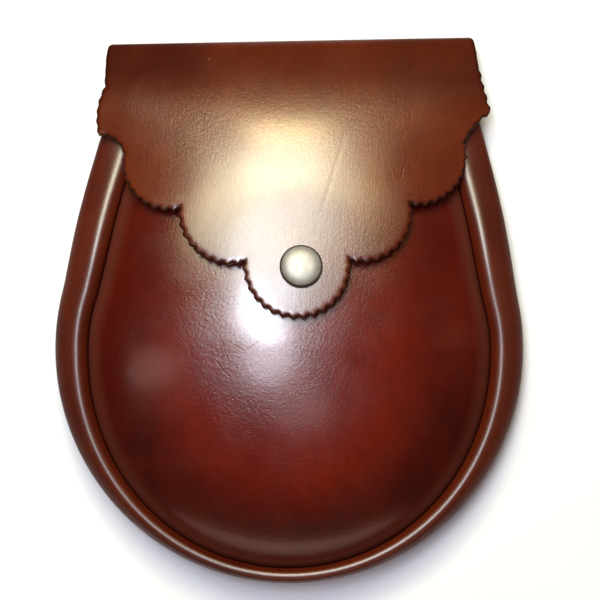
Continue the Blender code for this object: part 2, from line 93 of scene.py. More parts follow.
# Middle line of the gusset's leather, from the back seam to the front seam
GUSSET_LINE = (
    # name, inset_side, inset_bottom, height
    ("flange edge", 0.0016, 0.0016, 0.0037),
    ("flange", 0.0046, 0.0046, 0.0037),
    ("flange root", 0.0072, 0.0072, 0.0038),
    ("heel", 0.0084, 0.0082, 0.0054),
    ("under belly", 0.0060, 0.0056, 0.0074),
    ("low belly", 0.0025, 0.0023, 0.0093),
    ("belly", 0.0010, 0.0010, 0.0127),
    ("high belly", 0.0020, 0.0013, 0.0168),
    ("shoulder", 0.0050, 0.0022, 0.0204),
    ("ridge", 0.0086, 0.0034, 0.0227),
    ("inner roll", 0.0104, 0.0045, 0.0215),
)
GUSSET_LENGTH = 0.040  # of its section, roughly

# How finely the leathers are divided
GUSSET_LINE_POINTS = 60
GUSSET_CURVE_STEPS = 12  # between two rows of the table
GUSSET_EVEN_STEPS = 110
GUSSET_SOFTENINGS = 16
SIDE_STATIONS = 36
ROUND_STATIONS = 150
FRONT_SPACING = 0.0014
BACK_SPACING = 0.0060
MOUTH_POINTS = 60  # along the straight top of the front
TOP_RING_STEP = 0.0004
BACK_TOP_POINTS = 70
EDGE_STEPS = (0.0, 0.00015, 0.0004, 0.0009)  # rings of points inside a cut edge
CLEAR_OF_EDGE = 1.5  # times the last of these steps, kept free below a cut end
DEEP_INSIDE = 1.0  # stands for any distance far from a cut edge
CLEAR_OF_RINGS = 0.55  # share of the spacing that points keep from the rings
MERGE_DISTANCE = 1e-7
LEAST_SPREAD = 0.6  # limits how long the direction at a sharp corner gets
FOOT_ROUNDS = 3  # of finding the outline's nearest point
NEARLY_NOTHING = 1e-6
TURN_DOWN_RINGS = (-0.0015, -0.0008, -0.0003, 0.0, 0.00006, 0.00018, 0.0004)
DOME_RINGS = (0.0007, 0.0011, 0.0016, 0.0023, 0.0032, 0.0043)
SHARP_ANGLE = math.radians(50)
HOLE_END_STEPS = 14
SLOT_END_STEPS = 12

# Flap
FLAP_TILT = math.radians(2.19)
FLAP_SHIFT_X = -0.0006
FOLD_RADIUS = 0.0070
FOLD_FLATTENING = 0.0038
FOLD_LIFT = 0.13
FOLD_HALF_WIDTH = 0.067
FLAP_ROUNDNESS = 2.4
FOLD_BLEND = 0.012
TAIL_HEIGHT = BACK_THICKNESS + GAP + FLAP_THICKNESS / 2
RIM_CURVE = 60.0
RIM_END_Y = 0.0935
RIM_END_CURVE = 80.0
FOLD_TOP_Y = 0.1119
FOLD_LEFT_X = -0.0674
FOLD_RIGHT_X = 0.0660
FLAP_RISE = math.radians(30)
FLAP_SETTLE = 0.050
FLAP_SOFTNESS = 0.0030
RIM_SOFTNESS = 0.0020
RIM_RIDGE_INSET = 0.0097
MOUTH_CLEARANCE = 0.0070
RIM_CLEARANCE = 0.00035
TAIL_END_Y = 0.074
TAIL_HALF_WIDTH = 0.0515
TAIL_SHOULDER = 0.0045
FLAP_EDGE = (
    # name, end_x, end_y, bulge of the arc away from the leather, share of the teeth's depth
    ("left side", -0.0682, 0.0960, 0.0003, 0.35),
    ("left side scallop", -0.0706, 0.0780, 0.0017, 0.45),
    ("left cove", -0.0612, 0.0706, -0.0024, 0.7),
    ("left outer scallop", -0.0413, 0.0502, 0.0073, 1.0),
    ("left middle scallop", -0.0187, 0.0308, 0.0073, 1.0),
    ("tongue", 0.0189, 0.0308, 0.0195, 1.0),
    ("right middle scallop", 0.0408, 0.0502, 0.0076, 1.0),
    ("right outer scallop", 0.0610, 0.0728, 0.0077, 1.0),
    ("right cove", 0.0711, 0.0838, -0.0012, 0.8),
    ("right side", FOLD_RIGHT_X, None, -0.0004, 0.7),
)
FOLD_CORNER = 0.0013  # how far the sides are cut in at the fold
FOLD_CORNER_SHARPNESS = 7
TOOTH_PITCH = 0.0037
TOOTH_STEPS = 10
TOOTH_DEPTH = 0.00045  # to each side of the edge's middle line
TOOTH_START = 0.006  # below the fold, on the sides
TOOTH_START_FADE = 0.004
TOOTH_SHARPNESS = 0.93
TOOTH_UNEVENNESS = 0.22
TOOTH_UNEVEN_SCALE = 220.0
TOOTH_SEED = 3.1
FLAP_SPACING = 0.0014
FOLD_STEP = 0.0009
FLAP_RINGS = (
    # inset from the middle line of the cut edge, share of the teeth's depth
    (0.0, 1.0),
    (0.00015, 1.0),
    (0.0004, 0.95),
    (0.0008, 0.75),
    (0.0014, 0.40),
    (0.0022, 0.12),
    (0.0032, 0.0),
)
EDGE_ROLL_DEPTH = 0.00050  # the grain side falls away towards the cut edge
EDGE_ROLL_WIDTH = 0.0019
EDGE_ROLL_START = 0.004  # below the fold

# Snap
SLOPE_STEP = 0.001  # between the places that give a slope
STUD_X = 0.0036
STUD_Y = 0.0284
STAND_OFF = 0.0026
STAND_OFF_FADE = 0.0300
CAP_RADIUS = 0.0075
CAP_EDGE = 0.0009
CAP_DOME = 0.0023
CAP_FLATNESS = 3.2
CAP_ROUNDNESS = 1.8
POST_RADIUS = 0.0020
HOLE_RADIUS = 0.0024
SOCKET_RADIUS = 0.0052
SOCKET_HEIGHT = 0.0020
SOCKET_ROOF = 0.0004
SNAP_GAP = 0.0005
SOCKET_CHAMFER = 0.0003
BORE_CHAMFER = 0.0002
CAP_WALL = 0.0010
CAP_FLOOR = 0.0004  # of the hollow under the cap's edge
CURL_START = math.radians(-120.0)
CURL_END = math.radians(20.0)
CURL_STEPS = 8
DOME_INSET = 0.00035
DOME_FOOT = 0.75  # share of the edge's height
DOME_START = math.radians(12.0)
DOME_STEPS = 24
CAP_SEGMENTS = 96

# Slots in the back for a belt strap
SLOT_WIDTH = 0.0050
SLOT_LENGTH = 0.0270
SLOT_Y = 0.0450
SLOT_X = (-0.0470, -0.0200, 0.0200, 0.0470)

# Stitches
STITCH_PITCH = 0.0040
STITCH_LENGTH = 0.0033
THREAD_RADIUS = 0.00040
STITCH_SINK = THREAD_RADIUS + 0.00002  # in the grooves of the back
STITCH_DIVE = 0.00055  # of a stitch's ends into the leather
STITCH_THINNING = 0.45
STITCH_ASKEW = 5.0  # degrees
STITCH_UNEVENNESS = 2.0
STITCH_SIGHT = 0.2  # share of the pitch over which the line gives a stitch its direction
STITCH_RINGS = 7
STITCH_SIDES = 8
GROOVE_DEPTH = 0.00055
GROOVE_WIDTH = 0.00060
GROOVE_REACH = 0.0020
GROOVE_RINGS = (-0.0011, -0.0007, -0.0004, -0.0002, 0.0, 0.0002, 0.0004, 0.0007, 0.0011)
BACK_SEAM_INSET = 0.0046  # from the outline
TAIL_SEAM_Y = 0.0785
TAIL_SEAM_HALF_LENGTH = 0.0480
FLANGE_STITCH_START = 0.0020  # below the gusset's top
FLANGE_STITCH_RISE = 0.0001

# Darker dye with painted shade, painted light beside the seams, and relief. Reaches are from the
# seam of the front and from the middle of the flap
# Front: darker dye with painted shade towards the edges, more low down, where the dome turns away
# from the light.
FRONT_DYE_AND_SHADE_HIGH_Y = 0.030
FRONT_DYE_AND_SHADE_LOW_Y = -0.030
FRONT_DYE_AND_SHADE = (0.50, 0.92)  # high up and low down
FRONT_DYE_AND_SHADE_FULL = 0.012
FRONT_DYE_AND_SHADE_FADE = 0.022
# Front: painted light beside the seam, which lifts the shade of the crevice and stands in for light
# off the dome's steep edge.
FRONT_SKIRT_LIGHT = (0.80, 0.65)
FRONT_SKIRT_LIGHT_REACH = 0.0012
FRONT_SKIRT_LIGHT_FADE = 0.0050
# Flap: painted shade over its top and its ends, where the leather falls away from the light; the
# same share dulls the gloss there.
FLAP_SHADE_LOW_Y = 0.080
FLAP_SHADE_HEIGHT = 0.020
FLAP_SHADE_MIDDLE = 0.35
FLAP_SHADE_LEFT = 1.0
FLAP_SHADE_RIGHT = 0.75
FLAP_SHADE_REACH = 0.018
FLAP_SHADE_FADE = 0.026
# Rim: painted light on its inner roll beside the seam, which lifts the shade of the crevice.
RIM_SKIRT_LIGHT = 0.8
RIM_SKIRT_LIGHT_REACH = 0.0030  # from the cut edge in the seam
RIM_SKIRT_LIGHT_FADE = 0.0045
CRUMPLED_PLACE = (-0.0120, -0.0150, 0.036)
CRUMPLED_REACH = 0.034
FRONT_CREASES = (
    # start and end in the plan, width, depth
    ((-0.0190, -0.0125), (-0.0148, -0.0150), 0.0005, 0.00016),
    ((-0.0150, -0.0150), (-0.0092, -0.0105), 0.0005, 0.00018),
    ((-0.0255, -0.0180), (-0.0195, -0.0245), 0.0004, 0.00009),
    ((-0.0240, -0.0090), (-0.0200, -0.0190), 0.0004, 0.00008),
)
FLAP_CREASES = (
    ((0.0190, 0.0620), (0.0105, 0.0320), 0.0014, 0.00006),
    ((0.0405, 0.0524), (0.0381, 0.0454), 0.0008, 0.00004),
)

# Camera and the photo's frame
CAMERA_PLACE = (0.00355, 0.00286, 0.700)
CAMERA_ROLL = math.radians(1.1)
FRAME_WIDTH = 0.22204  # what the picture's width takes in at the floor
SENSOR_WIDTH = 36.0
CLIP_START = 0.01

# Floor and light
FLOOR_RADII = (0.0, 0.4, 1.2, 4.0)
FLOOR_POINTS = 24
FLOOR_DROP = 0.0001
WORLD_COLOUR = (1.0, 0.86, 0.68, 1.0)
WORLD_STRENGTH = 0.02
LIGHT_AIM = Vector((0.0, 0.0, 0.03))
LIGHTS = (
    # name, place, size, watts, colour
    ("warm top", (-0.070, 0.869, 1.030), (0.34, 0.15), 3.20, (1.00, 0.75, 0.36)),
    ("warm window", (-0.145, 0.655, 1.030), (0.80, 0.17), 3.05, (1.00, 0.99, 0.68)),
    ("wide window", (-0.085, 0.510, 1.030), (0.84, 0.15), 1.80, (0.74, 1.00, 0.84)),
    ("white window", (-0.087, 0.655, 1.030), (0.32, 0.26), 1.45, (0.98, 1.00, 0.94)),
    ("low window", (-0.087, 0.325, 1.030), (0.33, 0.22), 2.60, (0.82, 0.92, 1.00)),
    ("cool core", (-0.128, 0.150, 1.030), (0.18, 0.28), 3.55, (0.87, 0.91, 1.00)),
    ("cool tail", (-0.092, -0.052, 1.030), (0.22, 0.22), 1.25, (0.90, 0.89, 1.00)),
    ("cool low", (0.052, -0.249, 1.030), (0.26, 0.20), 0.14, (0.96, 0.96, 1.00)),
    ("warm glow", (-0.048, 0.475, 0.900), (0.94, 0.24), 2.85, (1.00, 0.66, 0.26)),
    ("left light", (-0.670, -0.120, 0.850), (0.14, 0.46), 0.27, (1.00, 0.58, 0.50)),
    ("low light", (0.000, -1.020, 0.420), (1.50, 0.30), 1.78, (1.00, 0.62, 0.45)),
    ("far right", (0.940, 0.088, 0.530), (0.20, 0.90), 0.18, (1.00, 0.26, 0.15)),
)


def smoothstep(value):
    """Ease from 0 to 1 as value goes from 0 to 1."""
    value = min(1.0, max(0.0, value))
    return value * value * (3.0 - 2.0 * value)


def mix(low, high, share):
    return low + (high - low) * share


def smooth_max(first, second, softness):
    """The larger of two values, rounded where they are alike."""
    near = max(0.0, 1.0 - abs(first - second) / softness)
    return max(first, second) + near * near * softness / 4


# Outline of the body


def half_width(y, inset=0.0):
    """Half the width of the body at height y, inside the outline by inset."""
    radius = BODY_RADIUS - inset
    tangent_y = radius * math.sin(SIDE_LEAN)
    if y <= tangent_y:
        return math.sqrt(max(0.0, radius * radius - y * y))
    share = min(1.0, (y - tangent_y) / (FOLD_TOP_Y - tangent_y))
    bow = SIDE_BOW * math.sin(math.pi * share**SIDE_BOW_LOWNESS) ** 2
    return radius * math.cos(SIDE_LEAN) - (y - tangent_y) * math.tan(SIDE_LEAN) + bow


def side_levels(top_y, low_y, edge_steps):
    """Levels down a side of the outline, evenly apart but with a few close to its top."""
    near = [top_y - step for step in edge_steps]
    even = [mix(top_y, low_y, n / SIDE_STATIONS) for n in range(1, SIDE_STATIONS)]
    return near + [y for y in even if top_y - y > edge_steps[-1] * CLEAR_OF_EDGE]


def outline_stations(top_y, edge_steps=(0.0,)):
    """Points along the outline from the top left around the bottom to the top right.

    Each is (point, inward direction, lowness, distance from the nearer cut end). Lowness goes
    from 0 level with the body's centre to 1 at the bottom, and below 0 higher up.
    """
    stations = []
    tangent_y = BODY_RADIUS * math.sin(SIDE_LEAN)
    inward = Vector((math.cos(SIDE_LEAN), -math.sin(SIDE_LEAN)))
    for y in side_levels(top_y, tangent_y, edge_steps):
        stations.append((Vector((-half_width(y), y)), inward, -y / BODY_RADIUS, top_y - y))
    side_count = len(stations)
    for index in range(ROUND_STATIONS + 1):
        angle = mix(math.pi - SIDE_LEAN, 2.0 * math.pi + SIDE_LEAN, index / ROUND_STATIONS)
        outward = Vector((math.cos(angle), math.sin(angle)))
        stations.append((outward * BODY_RADIUS, -outward, -outward.y, DEEP_INSIDE))
    for point, direction, lowness, reach in reversed(stations[:side_count]):
        mirrored = Vector((-direction.x, direction.y))
        stations.append((Vector((-point.x, point.y)), mirrored, lowness, reach))
    return stations


def rim_share(lowness):
    """How far the rim has gone from its width at the sides to that at the bottom."""
    if lowness > 0.0:
        return lowness**RIM_NARROWING
    return -RIM_WIDENING * smoothstep(-lowness / RIM_WIDENING_REACH)


def rim_width(lowness):
    return mix(RIM_WIDTH_SIDE, RIM_WIDTH_BOTTOM, rim_share(lowness))


def front_inset(lowness):
    """From the outline to the line where the front panel turns down."""
    return rim_width(lowness) + (GAP + FRONT_THICKNESS) / 2


def outline_foot(spot):
    """Distance of a point inside the outline, with the inward direction and the lowness."""
    tangent_y = BODY_RADIUS * math.sin(SIDE_LEAN)
    radius = spot.length
    leaning = abs(spot.x) * math.sin(SIDE_LEAN) < spot.y * math.cos(SIDE_LEAN)
    if radius > NEARLY_NOTHING and not leaning:
        return BODY_RADIUS - radius, -spot / radius, -spot.y / radius
    side = -1.0 if spot.x > 0.0 else 1.0
    inward = Vector((side * math.cos(SIDE_LEAN), -math.sin(SIDE_LEAN)))
    edge_y = max(tangent_y, spot.y)
    for _ in range(FOOT_ROUNDS):
        edge_x = -side * half_width(edge_y)
        along = (spot - Vector((edge_x, edge_y))).dot(inward)
        edge_y = spot.y - along * inward.y
    return along, inward, -edge_y / BODY_RADIUS


def tapered(height, y):
    """A height at full depth, as it is at y, where the body gets flatter towards the mouth."""
    share = smoothstep((y - TAPER_START_Y) / (GUSSET_TOP_Y - TAPER_START_Y))
    return min(height, TAPER_BASE + (height - TAPER_BASE) * mix(1.0, TAPER_AT_TOP, share))


# Heights of the front panel and the flap


def crest_height(y):
    share = min(1.0, max(0.0, y) / MOUTH_Y)
    return mix(DOME_HEIGHT, MOUTH_HEIGHT, share**CREST_FALL)


def dome_share(distance):
    """Share of the dome's rise, where distance goes from 0 at the edge to 1 at the crest."""
    return (1.0 - abs(1.0 - distance) ** DOME_ROUNDNESS) ** DOME_SHOULDER


def dome_height(x, y, inset):
    """Height of the front panel's outer face over a point, for a rim that wide."""
    if y > 0.0:
        distance = 1.0 - abs(x) / half_width(y, inset)
    else:
        distance = 1.0 - math.hypot(x, y) / (BODY_RADIUS - inset)
    return mix(tapered(SEAM_HEIGHT, y), crest_height(y), dome_share(max(0.0, distance)))


def front_height(x, y):
    """Height of the front panel's outer face as the flap and snap were fitted to it."""
    return dome_height(x, y, RIM_WIDTH_SIDE + (GAP + FRONT_THICKNESS) / 2)


def rim_height(y):
    ridge = max(row[3] for row in GUSSET_LINE)
    return tapered(ridge, y) + GUSSET_THICKNESS / 2


def fold_place(x=0.0):
    """The fold's centre in y, its radius, and where the flap leaves it in y and in height."""
    radius = FOLD_RADIUS - FOLD_FLATTENING * (abs(x) / FOLD_HALF_WIDTH) ** FLAP_ROUNDNESS
    centre_y = FOLD_TOP_Y - radius - FLAP_THICKNESS / 2 + FOLD_LIFT * (FOLD_RADIUS - radius)
    leave_y = centre_y + radius * math.sin(FLAP_RISE)
    leave_height = TAIL_HEIGHT + radius * (1.0 + math.cos(FLAP_RISE))
    return centre_y, radius, leave_y, leave_height


def tilt_flap(x, y):
    """Turn a point of the flap about the middle of its fold."""
    centre_y = fold_place()[0]
    turned_point = Matrix.Rotation(FLAP_TILT, 2) @ Vector((x, y - centre_y))
    return turned_point.x + FLAP_SHIFT_X, turned_point.y + centre_y


def untilt_flap(x, y):
    """The point of the flap that tilt_flap brings to a place."""
    centre_y = fold_place()[0]
    back = Matrix.Rotation(-FLAP_TILT, 2) @ Vector((x - FLAP_SHIFT_X, y - centre_y))
    return back.x, back.y + centre_y


def flap_middle(y):
    """Height of the flap's leather along its middle, before the tilt."""
    _, _, leave_y, leave_height = fold_place()
    resting = GAP + FLAP_THICKNESS / 2 + STAND_OFF
    if y <= STUD_Y:
        return crest_height(y) + resting
    reach = leave_y - STUD_Y
    share = (leave_y - y) / reach
    stud_height = crest_height(STUD_Y) + resting
    crest_fall = crest_height(STUD_Y - SLOPE_STEP) - crest_height(STUD_Y + SLOPE_STEP)
    stud_slope = crest_fall / (2 * SLOPE_STEP)
    fold_slope = math.tan(FLAP_RISE)
    rise = stud_height - leave_height
    square = 3.0 * rise - (2.0 * fold_slope + stud_slope) * reach
    cube = (fold_slope + stud_slope) * reach - 2.0 * rise
    return leave_height + fold_slope * reach * share + square * share**2 + cube * share**3


def flap_shift(x, y):
    """How far up a point of the front is drawn near the ends of the fold, which are flatter."""
    middle_y = fold_place()[2]
    return (fold_place(x)[2] - middle_y) * (1.0 - smoothstep((middle_y - y) / FOLD_BLEND))


def flap_height(x, y):
    """Height of the middle of the flap's leather over a point of its front, before the tilt."""
    body_x, body_y = tilt_flap(x, y + flap_shift(x, y))
    resting = GAP + FLAP_THICKNESS / 2
    middle = flap_middle(y)
    over_rim = rim_height(body_y) + resting + RIM_CLEARANCE
    ridge_x = half_width(body_y, RIM_RIDGE_INSET)
    fold_drop = fold_place()[3] - fold_place(x)[3]
    rim_drop = max(0.0, middle - over_rim) * (abs(body_x) / ridge_x) ** FLAP_ROUNDNESS
    settled = smoothstep((fold_place()[2] - y) / FLAP_SETTLE)
    arched = middle - mix(fold_drop, rim_drop, settled)
    past_rim = max(0.0, body_y - RIM_END_Y)
    on_rim = over_rim - RIM_CURVE * (abs(body_x) - ridge_x) ** 2 - RIM_END_CURVE * past_rim**2
    past_mouth = smoothstep((body_y - MOUTH_Y) / MOUTH_CLEARANCE + 1.0)
    lying = front_height(body_x, body_y) + resting - past_mouth * MOUTH_HEIGHT
    spanning = smooth_max(arched, lying, FLAP_SOFTNESS)
    carried = smooth_max(spanning, on_rim, RIM_SOFTNESS)
    from_stud = math.hypot(body_x - STUD_X, body_y - STUD_Y)
    near_stud = 1.0 - smoothstep(from_stud / STAND_OFF_FADE)
    return mix(carried, lying + STAND_OFF, near_stud)


# Building blocks


def reversed_faces(faces):
    return [tuple(reversed(face)) for face in faces]


def grid_faces(rows, columns):
    """Quads of a grid of points that is listed row by row."""
    faces = []
    for row in range(rows - 1):
        for column in range(columns - 1):
            corner = row * columns + column
            faces.append((corner, corner + 1, corner + columns + 1, corner + columns))
    return faces


def curve_point(points, place):
    """Point of a Catmull-Rom curve, where place runs from 0 to the last point's number."""
    start = min(int(place), len(points) - 2)
    t = place - start
    before = points[start - 1] if start > 0 else points[0] * 2 - points[1]
    last = len(points) - 1
    after = points[start + 2] if start + 2 <= last else points[last] * 2 - points[last - 1]
    a, b, c, d = before, points[start], points[start + 1], after
    return 0.5 * (
        2 * b
        + (c - a) * t
        + (2 * a - 5 * b + 4 * c - d) * t**2
        + (3 * b - a - 3 * c + d) * t**3
    )


def softened(points, rounds):
    """The points of a line, each drawn towards its neighbours several times over."""
    for _ in range(rounds):
        middle = [
            (before + here * 2 + after) / 4
            for before, here, after in zip(points, points[1:], points[2:])
        ]
        points = [points[0]] + middle + [points[-1]]
    return points


def arc_points(start, end, bulge, step):
    """Points after start up to end along an arc that bulges to the right of start to end."""
    chord = end - start
    if abs(bulge) < NEARLY_NOTHING:
        count = max(1, round(chord.length / step))
        return [start.lerp(end, n / count) for n in range(1, count + 1)]
    radius = (chord.length**2 / 4 + bulge**2) / (2 * bulge)
    side = Vector((chord.y, -chord.x)).normalized()
    centre = (start + end) / 2 + side * (bulge - radius)
    sweep = 4 * math.atan(2 * bulge / chord.length)
    count = max(2, round(abs(radius * sweep) / step))
    arm = start - centre
    return [centre + Matrix.Rotation(sweep * n / count, 2) @ arm for n in range(1, count + 1)]


def crossings(outline, y):
    """Where a closed outline crosses a level of y, from low x to high x."""
    found = []
    for start, end in zip(outline, outline[1:] + outline[:1]):
        if (start.y > y) != (end.y > y):
            found.append(mix(start.x, end.x, (y - start.y) / (end.y - start.y)))
    return sorted(found)


def is_inside(point, outline):
    """Whether a point lies inside a closed outline."""
    return sum(x < point.x for x in crossings(outline, point.y)) % 2 == 1


def spaced(low, high, spacing):
    """Values between low and high, evenly apart, without the two ends."""
    count = max(1, round((high - low) / spacing))
    return [mix(low, high, n / count) for n in range(1, count)]


def fill_rings(rings, hole_rings, levels, spacing):
    """Triangles of a flat sheet between closed rings, the outermost first.

    rings and hole_rings are lists of lists of points. The first ring is the cut edge, and so is
    the first ring of each hole. Points come back in the order given, rings first.
    """
    points = []
    edges = []
    for ring in rings + [ring for hole in hole_rings for ring in hole]:
        first = len(points)
        points += ring
        edges += [(first + n, first + (n + 1) % len(ring)) for n in range(len(ring))]
    tree = KDTree(len(points))
    for index, point in enumerate(points):
        tree.insert((point.x, point.y, 0.0), index)
    tree.balance()
    inner = rings[-1]
    low_x = min(p.x for p in inner)
    high_x = max(p.x for p in inner)
    columns = spaced(low_x, high_x, spacing)
    holes = [hole[-1] for hole in hole_rings]
    for y in levels:
        spans = crossings(inner, y)
        for x in columns:
            if sum(edge < x for edge in spans) % 2 == 0:
                continue
            if tree.find((x, y, 0.0))[2] < spacing * CLEAR_OF_RINGS:
                continue
            if any(is_inside(Vector((x, y)), hole) for hole in holes):
                continue
            points.append(Vector((x, y)))
    filled, _, faces = delaunay_2d_cdt(points, edges, [], 1, MERGE_DISTANCE)[:3]
    kept = []
    cuts = [hole[0] for hole in hole_rings]
    for face in faces:
        middle = sum((filled[n] for n in face), Vector((0.0, 0.0))) / 3
        if not any(is_inside(middle, cut) for cut in cuts):
            kept.append(face)
    return filled, kept


def rounding(distance, radius):
    """How far a rounded cut edge has dropped at a distance inside it."""
    if distance >= radius:
        return 0.0
    return radius - math.sqrt(radius**2 - (radius - distance) ** 2)


def leather_sheet(name, points, faces, distances, materials, relief=None, tone_maps=None):
    """One of SHEETS around its middle surface, with rounded cut edges.

    Faces turn so that their normals point to the grain side. distances are those from the cut
    edge. relief(index) is how far the grain side stands out at a point. The materials are those
    of the grain side, the flesh side and the cut edge. The last argument maps names of attributes
    of the grain side, which carry darker dye, painted shade and painted light, to their values at
    the points.
    """
    thickness, radius = SHEETS[name]
    sheet = bpy.data.meshes.new(name)
    sheet.from_pydata(points, [], faces)
    sheet.update()
    normals = [vertex.normal.copy() for vertex in sheet.vertices]
    bpy.data.meshes.remove(sheet)
    half = thickness / 2
    grain = []
    flesh = []
    for index, (point, normal) in enumerate(zip(points, normals)):
        drop = rounding(distances[index], radius)
        stand = relief(index) if relief else 0.0
        grain.append(Vector(point) + normal * (half - drop + stand))
        flesh.append(Vector(point) - normal * (half - drop))
    total = len(points)
    directed = set()
    for face in faces:
        directed.update(zip(face, face[1:] + face[:1]))
    border = sorted((a, b) for a, b in directed if (b, a) not in directed)
    middle_of = {}
    vertices = grain + flesh
    edge_values = list(distances) * 2
    for a, _ in border:
        middle_of[a] = len(vertices)
        vertices.append((grain[a] + flesh[a]) / 2)
        edge_values.append(0.0)
    polygons = [tuple(face) for face in faces]
    polygons += [tuple(n + total for n in reversed(face)) for face in faces]
    walls = []
    for a, b in border:
        walls.append((b, a, middle_of[a], middle_of[b]))
        walls.append((middle_of[b], middle_of[a], a + total, b + total))
    mesh = smooth_mesh(name, vertices, polygons + walls, materials)
    kinds = [0] * len(faces) + [1] * len(faces) + [2] * len(walls)
    mesh.polygons.foreach_set("material_index", kinds)
    write_attribute(mesh, "edge_distance", edge_values)
    # Named maps of darker dye with painted shade, and of painted light, for the grain side.
    for dye, values in (tone_maps or {}).items():
        write_attribute(mesh, dye, values + [0.0] * (len(vertices) - total))
    return place(name, mesh)


def smooth_mesh(name, vertices, faces, materials):
    mesh = bpy.data.meshes.new(name)
    mesh.from_pydata(vertices, [], faces)
    for material in materials:
        mesh.materials.append(material)
    mesh.shade_smooth()
    return mesh


def write_attribute(mesh, name, values):
    """Give each vertex of a mesh a named number that its materials can read."""
    attribute = mesh.attributes.new(name, "FLOAT", "POINT")
    attribute.data.foreach_set("value", values)


def add_object(name, data):
    """A new object in the scene."""
    item = bpy.data.objects.new(name, data)
    bpy.context.scene.collection.objects.link(item)
    return item


def place(name, mesh):
    """The object of a mesh that was made around the body's centre."""
    mesh.transform(Matrix.Translation((0.0, BODY_CENTRE_Y, 0.0)))
    return add_object(name, mesh)


def turned(name, profile, material, segments):
    """A round mesh about Z from a profile of (radius, height) points.

    Its faces point up where the profile runs outwards.
    """
    vertices = []
    rings = []
    for radius, height in profile:
        count = segments if radius > NEARLY_NOTHING else 1
        rings.append([len(vertices) + n % count for n in range(segments)])
        for n in range(count):
            angle = 2 * math.pi * n / segments
            vertices.append((radius * math.cos(angle), radius * math.sin(angle), height))
    faces = []
    for near, far in zip(rings, rings[1:]):
        for n in range(segments):
            after = (n + 1) % segments
            corners = (near[n], far[n], far[after], near[after])
            faces.append(tuple(dict.fromkeys(corners)))
    mesh = smooth_mesh(name, vertices, faces, [material])
    mesh.set_sharp_from_angle(angle=SHARP_ANGLE)
    return mesh


# Material nodes


class Nodes:
    """Adds nodes to one material."""

    def __init__(self, name):
        self.material = bpy.data.materials.new(name)
        self.material.use_nodes = True
        self.tree = self.material.node_tree
        self.shader = self.tree.nodes["Principled BSDF"]

    def connect(self, value, socket):
        """Put a number, colour or another node's output into a socket."""
        if isinstance(value, bpy.types.NodeSocket):
            self.tree.links.new(value, socket)
        elif isinstance(value, tuple) and len(value) == 3 and socket.type == "RGBA":
            socket.default_value = (*value, 1.0)
        else:
            socket.default_value = value

    def add(self, kind, inputs, output=0, **settings):
        """Add a node with its inputs and settings, and return one of its outputs."""
        node = self.tree.nodes.new(kind)
        for key, value in settings.items():
            setattr(node, key, value)
        for key, value in inputs.items():
            self.connect(value, node.inputs[key])
        return node.outputs[output]

    def position(self, scale=(1.0, 1.0, 1.0), turn=0.0):
        """Coordinates in metres, stretched by scale and turned about Z."""
        source = self.tree.nodes.new("ShaderNodeTexCoord").outputs["Object"]
        inputs = {"Vector": source, "Scale": scale, "Rotation": (0.0, 0.0, turn)}
        return self.add("ShaderNodeMapping", inputs)

    def noise(self, where, scale, detail=3.0, roughness=0.5, distortion=0.0):
        inputs = dict(Vector=where, Scale=scale, Detail=detail, Roughness=roughness)
        return self.add("ShaderNodeTexNoise", {**inputs, "Distortion": distortion})

    def cells(self, where, scale):
        return self.add("ShaderNodeTexVoronoi", {"Vector": where, "Scale": scale})

    def span(self, value, low, high, to_low=0.0, to_high=1.0):
        """Map a range of values onto another, smoothly and with its ends held."""
        inputs = dict(enumerate((value, low, high, to_low, to_high)))
        return self.add("ShaderNodeMapRange", inputs, interpolation_type="SMOOTHSTEP")

    def sum(self, *values):
        total = values[0]
        for value in values[1:]:
            total = self.add("ShaderNodeMath", {0: total, 1: value}, operation="ADD")
        return total

    def times(self, first, second):
        return self.add("ShaderNodeMath", {0: first, 1: second}, operation="MULTIPLY")

    def blend(self, share, low, high):
        """Mix of two colours."""
        inputs = {0: share, 6: low, 7: high}
        return self.add("ShaderNodeMix", inputs, 2, data_type="RGBA")

    def tint(self, colour, dye, pattern, low, high, share=1.0):
        """Bring a share of a dye into a colour as a pattern goes from low to high."""
        return self.blend(self.span(pattern, low, high, 0.0, share), colour, dye)

    def attribute(self, name):
        return self.add("ShaderNodeAttribute", {}, "Fac", attribute_name=name)

    def shaken(self, where, scale, size):
        """Coordinates pushed about a little, so that cells aren't too regular."""
        push = self.add("ShaderNodeTexNoise", {"Vector": where, "Scale": scale}, "Color")
        part = self.add("ShaderNodeVectorMath", {0: push, "Scale": size}, operation="SCALE")
        return self.add("ShaderNodeVectorMath", {0: where, 1: part}, operation="ADD")

    def crease(self, start, end, width):
        """1 along a slightly wavy line between two points of the plan, 0 away from it."""
        run = Vector(end) - Vector(start)
        turn = math.atan2(run.y, run.x)
        where = self.shaken(self.position(), 220.0, 0.0012)
        inputs = {"Vector": where, "Location": (*start, 0.0), "Rotation": (0.0, 0.0, turn)}
        local = self.add("ShaderNodeMapping", inputs, vector_type="TEXTURE")
        along = self.add("ShaderNodeSeparateXYZ", {0: local}, "X")
        aside = self.add("ShaderNodeSeparateXYZ", {0: local}, "Y")
        off = self.add("ShaderNodeMath", {0: aside}, operation="ABSOLUTE")
        fade = run.length * 0.3
        start_fade = self.span(along, -fade * 0.3, fade)
        end_fade = self.span(along, run.length - fade, run.length, 1.0, 0.0)
        near = self.span(off, 0.0, width, 1.0, 0.0)
        return self.times(near, self.times(start_fade, end_fade))

    def bump(self, height, distance, strength, before=None):
        """Relief of a pattern, on top of the relief before."""
        inputs = {"Height": height, "Distance": distance, "Strength": strength}
        if before is not None:
            inputs["Normal"] = before
        return self.add("ShaderNodeBump", inputs)

    def set(self, **values):
        """Set the shader's sockets, named with underscores for spaces."""
        for key, value in values.items():
            self.connect(value, self.shader.inputs[key.replace("_", " ")])
        return self.material


